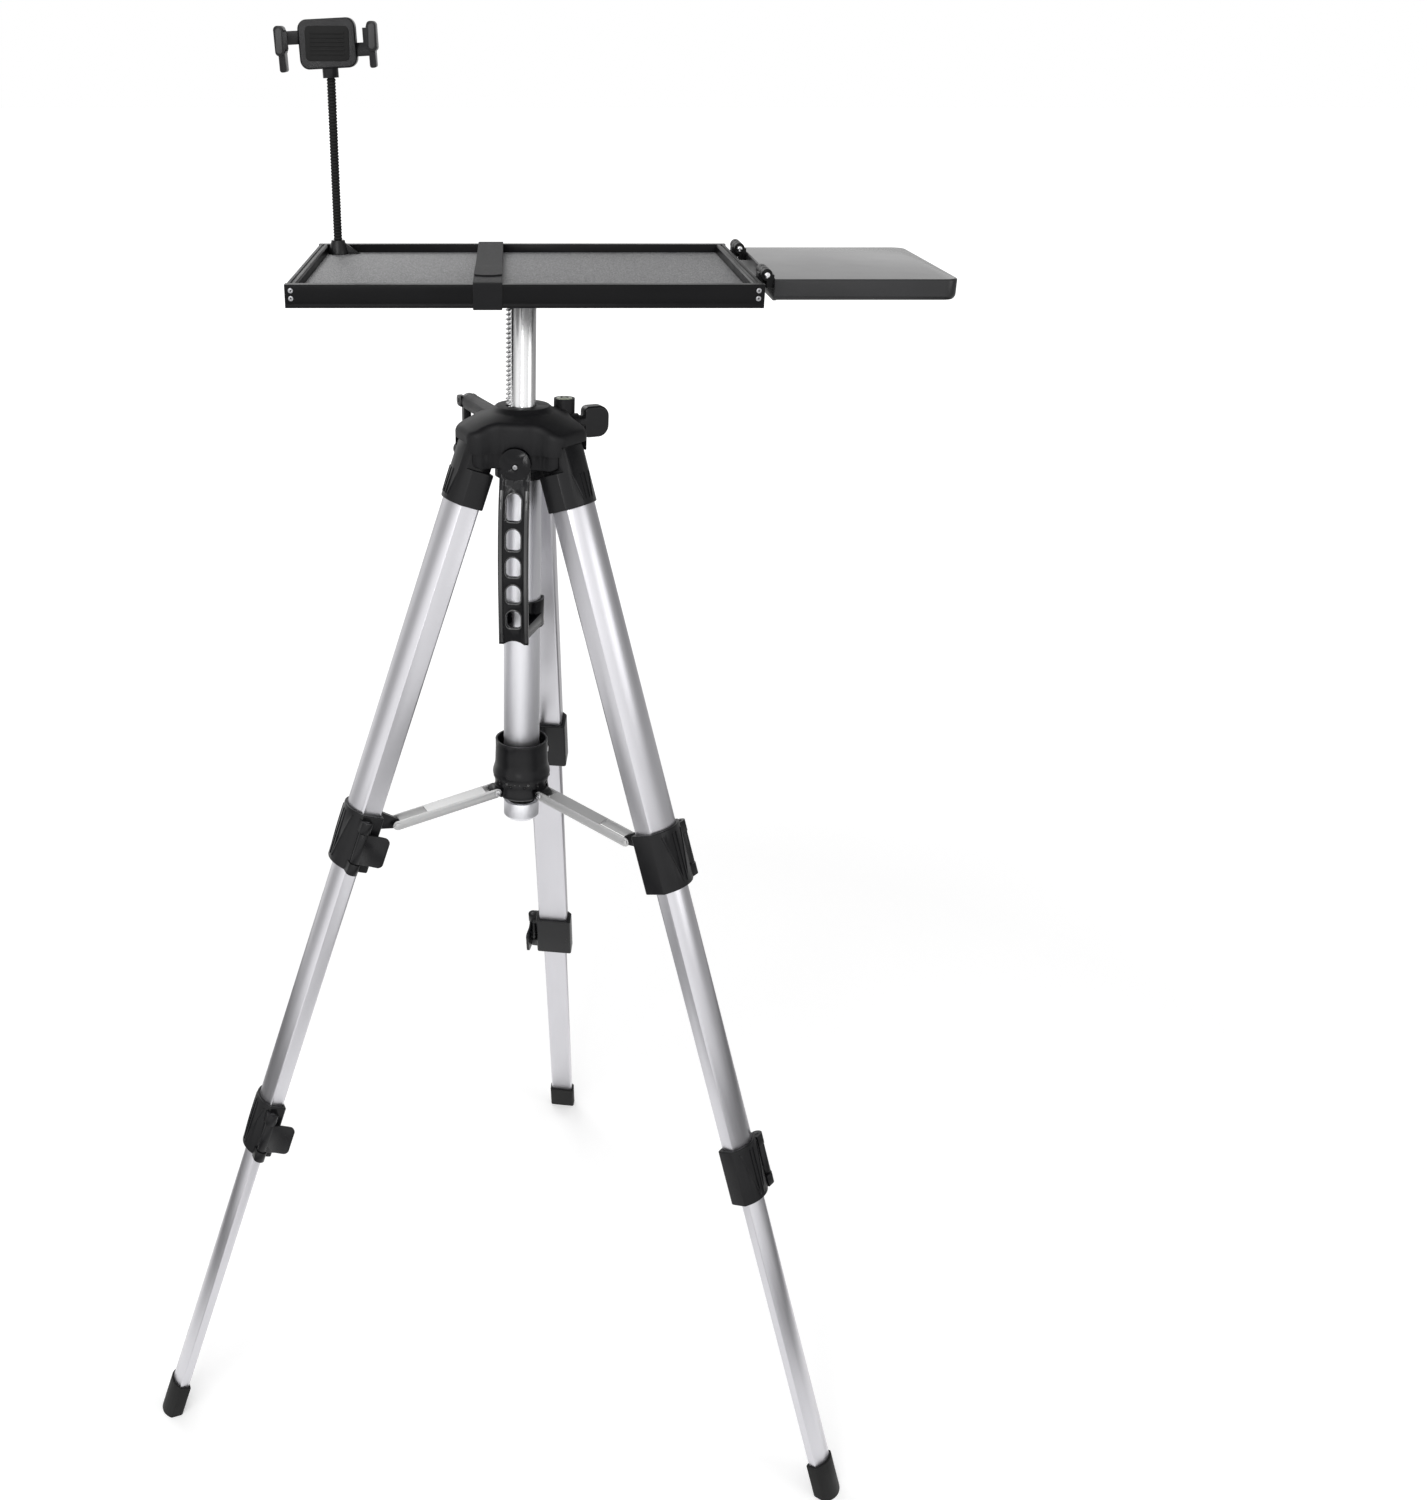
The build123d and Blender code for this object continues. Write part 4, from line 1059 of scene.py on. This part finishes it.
def make_world():
    """White to the camera, even for diffuse light, and shaded round the stand for reflections."""
    world = bpy.data.worlds.new("studio")
    bpy.context.scene.world = world
    world.use_nodes = True
    made = Shading(world.node_tree)
    camera, mirror = made.rays()
    unseen = made.mix("FLOAT", mirror, WORLD_LIGHT, studio_ring(made, "Generated"))
    light = world.node_tree.nodes["Background"]
    light.inputs["Color"].default_value = WHITE
    made.feed(made.mix("FLOAT", camera, unseen, 1.0), light.inputs["Strength"])


def make_floor():
    """Pale floor that reads white to the camera and keeps the stand's shadow.

    Reflections see a bright patch by the feet, the studio's ring further out, and between the two
    a painted shade on both sides: a darker floor colour that only reflections see.
    """
    mesh = bmesh.new()
    bmesh.ops.create_grid(mesh, x_segments=1, y_segments=1, size=FLOOR_SIZE / 2)
    data = bpy.data.meshes.new("floor")
    mesh.to_mesh(data)
    mesh.free()
    floor = bpy.data.objects.new("floor", data)
    bpy.context.scene.collection.objects.link(floor)
    made = Finish("pale floor", Roughness=FLOOR_ROUGHNESS, Specular_IOR_Level=0.0, Emission_Color=WHITE)
    camera, mirror = made.rays()
    length = made.node("ShaderNodeVectorMath", operation="LENGTH")
    made.feed(made.coordinates("Object"), length.inputs["Vector"])
    reach = length.outputs["Value"]
    patch = made.spread(reach, FLOOR_SHINE, 0.0, *FLOOR_SHINE_EDGES)
    lit = made.calc("SUBTRACT", studio_ring(made, "Object"), FLOOR_UNLIT)
    ring = made.calc("MAXIMUM", lit, 0.0)
    beyond = made.calc("MULTIPLY", made.spread(reach, 0.0, 1.0, *FLOOR_RING_EDGES), ring)
    shine = made.calc("ADD", patch, beyond)
    # Painted shade: the floor's colour turns darker on both sides near the stand, for reflections only
    x, _, _ = made.axes("Object")
    aside = made.spread(made.calc("ABSOLUTE", x), 0.0, 1.0, *FLOOR_SIDE_EDGES)
    beside = made.calc("MULTIPLY", aside, made.spread(reach, 1.0, 0.0, *FLOOR_RING_EDGES))
    darker = made.calc("MULTIPLY", mirror, beside)
    made.drive("Base Color", made.mix("RGBA", darker, FLOOR_COLOUR, FLOOR_SIDE_SHADE))
    paler = made.spread(reach, FLOOR_GLOW, FLOOR_FAR_GLOW, *FLOOR_FAR_EDGES)
    seen = made.calc("MULTIPLY", camera, paler)
    made.drive("Emission Strength", made.calc("ADD", made.calc("MULTIPLY", mirror, shine), seen))
    data.materials.append(made.material)


def make_lamp(name, place, target, size, power):
    """Soft rectangular lamp that looks at a point."""
    data = bpy.data.lights.new(name, "AREA")
    data.shape = "RECTANGLE"
    data.size, data.size_y = size
    data.energy = power
    lamp = bpy.data.objects.new(name, data)
    lamp.location = place
    lamp.rotation_euler = (Vector(target) - Vector(place)).to_track_quat("-Z", "Y").to_euler()
    bpy.context.scene.collection.objects.link(lamp)


def make_camera():
    """Camera at the photograph's angle, shifted to its framing."""
    data = bpy.data.cameras.new("camera")
    long_side = max(IMAGE_WIDTH, IMAGE_HEIGHT)
    data.sensor_width = SENSOR
    data.lens = FOCAL_PIXELS * SENSOR / long_side
    data.shift_x = (IMAGE_WIDTH / 2 - CENTRE_PIXEL[0]) / long_side
    data.shift_y = (CENTRE_PIXEL[1] - IMAGE_HEIGHT / 2) / long_side
    data.clip_end = CAMERA_REACH
    camera = bpy.data.objects.new("camera", data)
    camera.location = CAMERA_PLACE
    camera.rotation_euler = (math.radians(90 - CAMERA_PITCH), 0, 0)
    bpy.context.scene.collection.objects.link(camera)
    bpy.context.scene.camera = camera


# Finishes: dark and light colour, or the metal's colour, and the range of roughness

black = moulded("moulded black", (0.005, 0.005, 0.006), (0.009, 0.009, 0.010), 0.27, 0.35, specular=0.24)
hub_black = moulded("hub black", (0.006, 0.006, 0.007), (0.010, 0.010, 0.011), 0.46, 0.56, specular=0.22)
lever_black = moulded("lever black", (0.005, 0.005, 0.006), (0.008, 0.008, 0.009), 0.24, 0.32, specular=0.26)
gloss = moulded("gloss black", (0.003, 0.003, 0.004), (0.005, 0.005, 0.006), 0.17, 0.22,
                grain=9.0 * MM, depth=0.012 * MM, specular=0.18)
shiny = moulded("shiny black", (0.003, 0.003, 0.004), (0.005, 0.005, 0.006), 0.08, 0.11,
                grain=9.0 * MM, depth=0.01 * MM, specular=0.9)
rubber = moulded("rubber", (0.008, 0.008, 0.008), (0.013, 0.013, 0.013), 0.6, 0.74,
                 grain=0.8 * MM, depth=0.05 * MM, specular=0.2)
soft_grey = moulded("soft grey trim", (0.05, 0.05, 0.051), (0.07, 0.07, 0.071), 0.5, 0.62,
                    grain=0.8 * MM, depth=0.05 * MM, specular=0.3)
thread = moulded("thread", (0.03, 0.03, 0.032), (0.05, 0.05, 0.052), 0.6, 0.75)
rail_coat = painted("satin rail coat", (0.0035, 0.0035, 0.004), (0.006, 0.006, 0.0065), 0.28, 0.38,
                    specular=0.1)
black_coat = painted("satin black coat", (0.01, 0.01, 0.011), (0.015, 0.015, 0.0165), 0.28, 0.36,
                     specular=0.36, film=1.0)
tray_sheet = speckled("speckled tray sheet")
band = webbing("hook and loop band")
leg_metal = {}
for number in LEGS:
    along_leg = leg_frame(number).to_euler()
    leg_metal[number] = aluminium(f"leg metal {number}", (0.583, 0.578, 0.604), 0.29, 0.37, along_leg)
tube_metal = aluminium("centre tube metal", (0.75, 0.75, 0.78), 0.4, 0.48)
column_metal = aluminium("column metal", (0.67, 0.67, 0.675), 0.2, 0.28)
strut_metal = aluminium("strut metal", (0.56, 0.56, 0.56), 0.5, 0.6, (0, math.pi / 2, 0))
steel = aluminium("bright steel", (0.56, 0.56, 0.57), 0.18, 0.28)
screw_steel = aluminium("screw steel", (0.3, 0.3, 0.31), 0.28, 0.38)
dark_steel = aluminium("dark steel", (0.06, 0.06, 0.062), 0.3, 0.4)
vial = liquid("level liquid", (0.62, 0.7, 0.46))

# The stand

dress_legs(leg_metal, black, lever_black, rubber)
for material, edge, names in (
    (hub_black, EDGE_ROUND, ("hub_casting",)),
    (black, EDGE_ROUND, ("spreader_collar", "crank_shaft", "crank_arm", "lock_knob")),
    (black, EDGE_ROUND, ("phone_base", "phone_clamp", "phone_jaw_left", "phone_jaw_right")),
    (gloss, HANDLE_EDGE, ("carry_handle",)),
    (tube_metal, TUBE_EDGE, ("centre_tube",)),
    (tube_metal, RAIL_EDGE, ("tube_end_cap",)),
    (column_metal, TUBE_EDGE, ("column_tube",)),
    (column_metal, 0, ("column_rack",)),
    (rail_coat, RAIL_EDGE, ("column_head", "tray_long_rails", "tray_end_rails")),
    (rail_coat, RAIL_EDGE, ("tray_hinge", "side_tray_hinge")),
    (black_coat, SIDE_TRAY_EDGE, ("side_tray",)),
    (tray_sheet, EDGE_ROUND, ("tray_plate",)),
    (steel, TUBE_EDGE, ("leg_pins", "collar_pins")),
    (strut_metal, STRUT_EDGE, ("strut_1", "strut_2", "strut_3")),
):
    for name in names:
        dress(name, material, edge)

make_strap(band, thread)
make_neck(rubber)
make_nut(black)
make_phone_pads(rubber, soft_grey)
make_corner_screws(screw_steel)
make_head_screws(screw_steel)
make_handle_screw(screw_steel)
make_hinge_pins(steel)
make_lever_pins(dark_steel)
make_cap_ring(rubber)
make_collar_studs(shiny)
make_crank_knob(black)
make_level(vial, black)
make_handle_trim(shiny)

make_world()
make_floor()
for name, settings in LAMPS.items():
    make_lamp(name, *settings)
make_camera()
bpy.context.scene.view_settings.view_transform = "Standard"
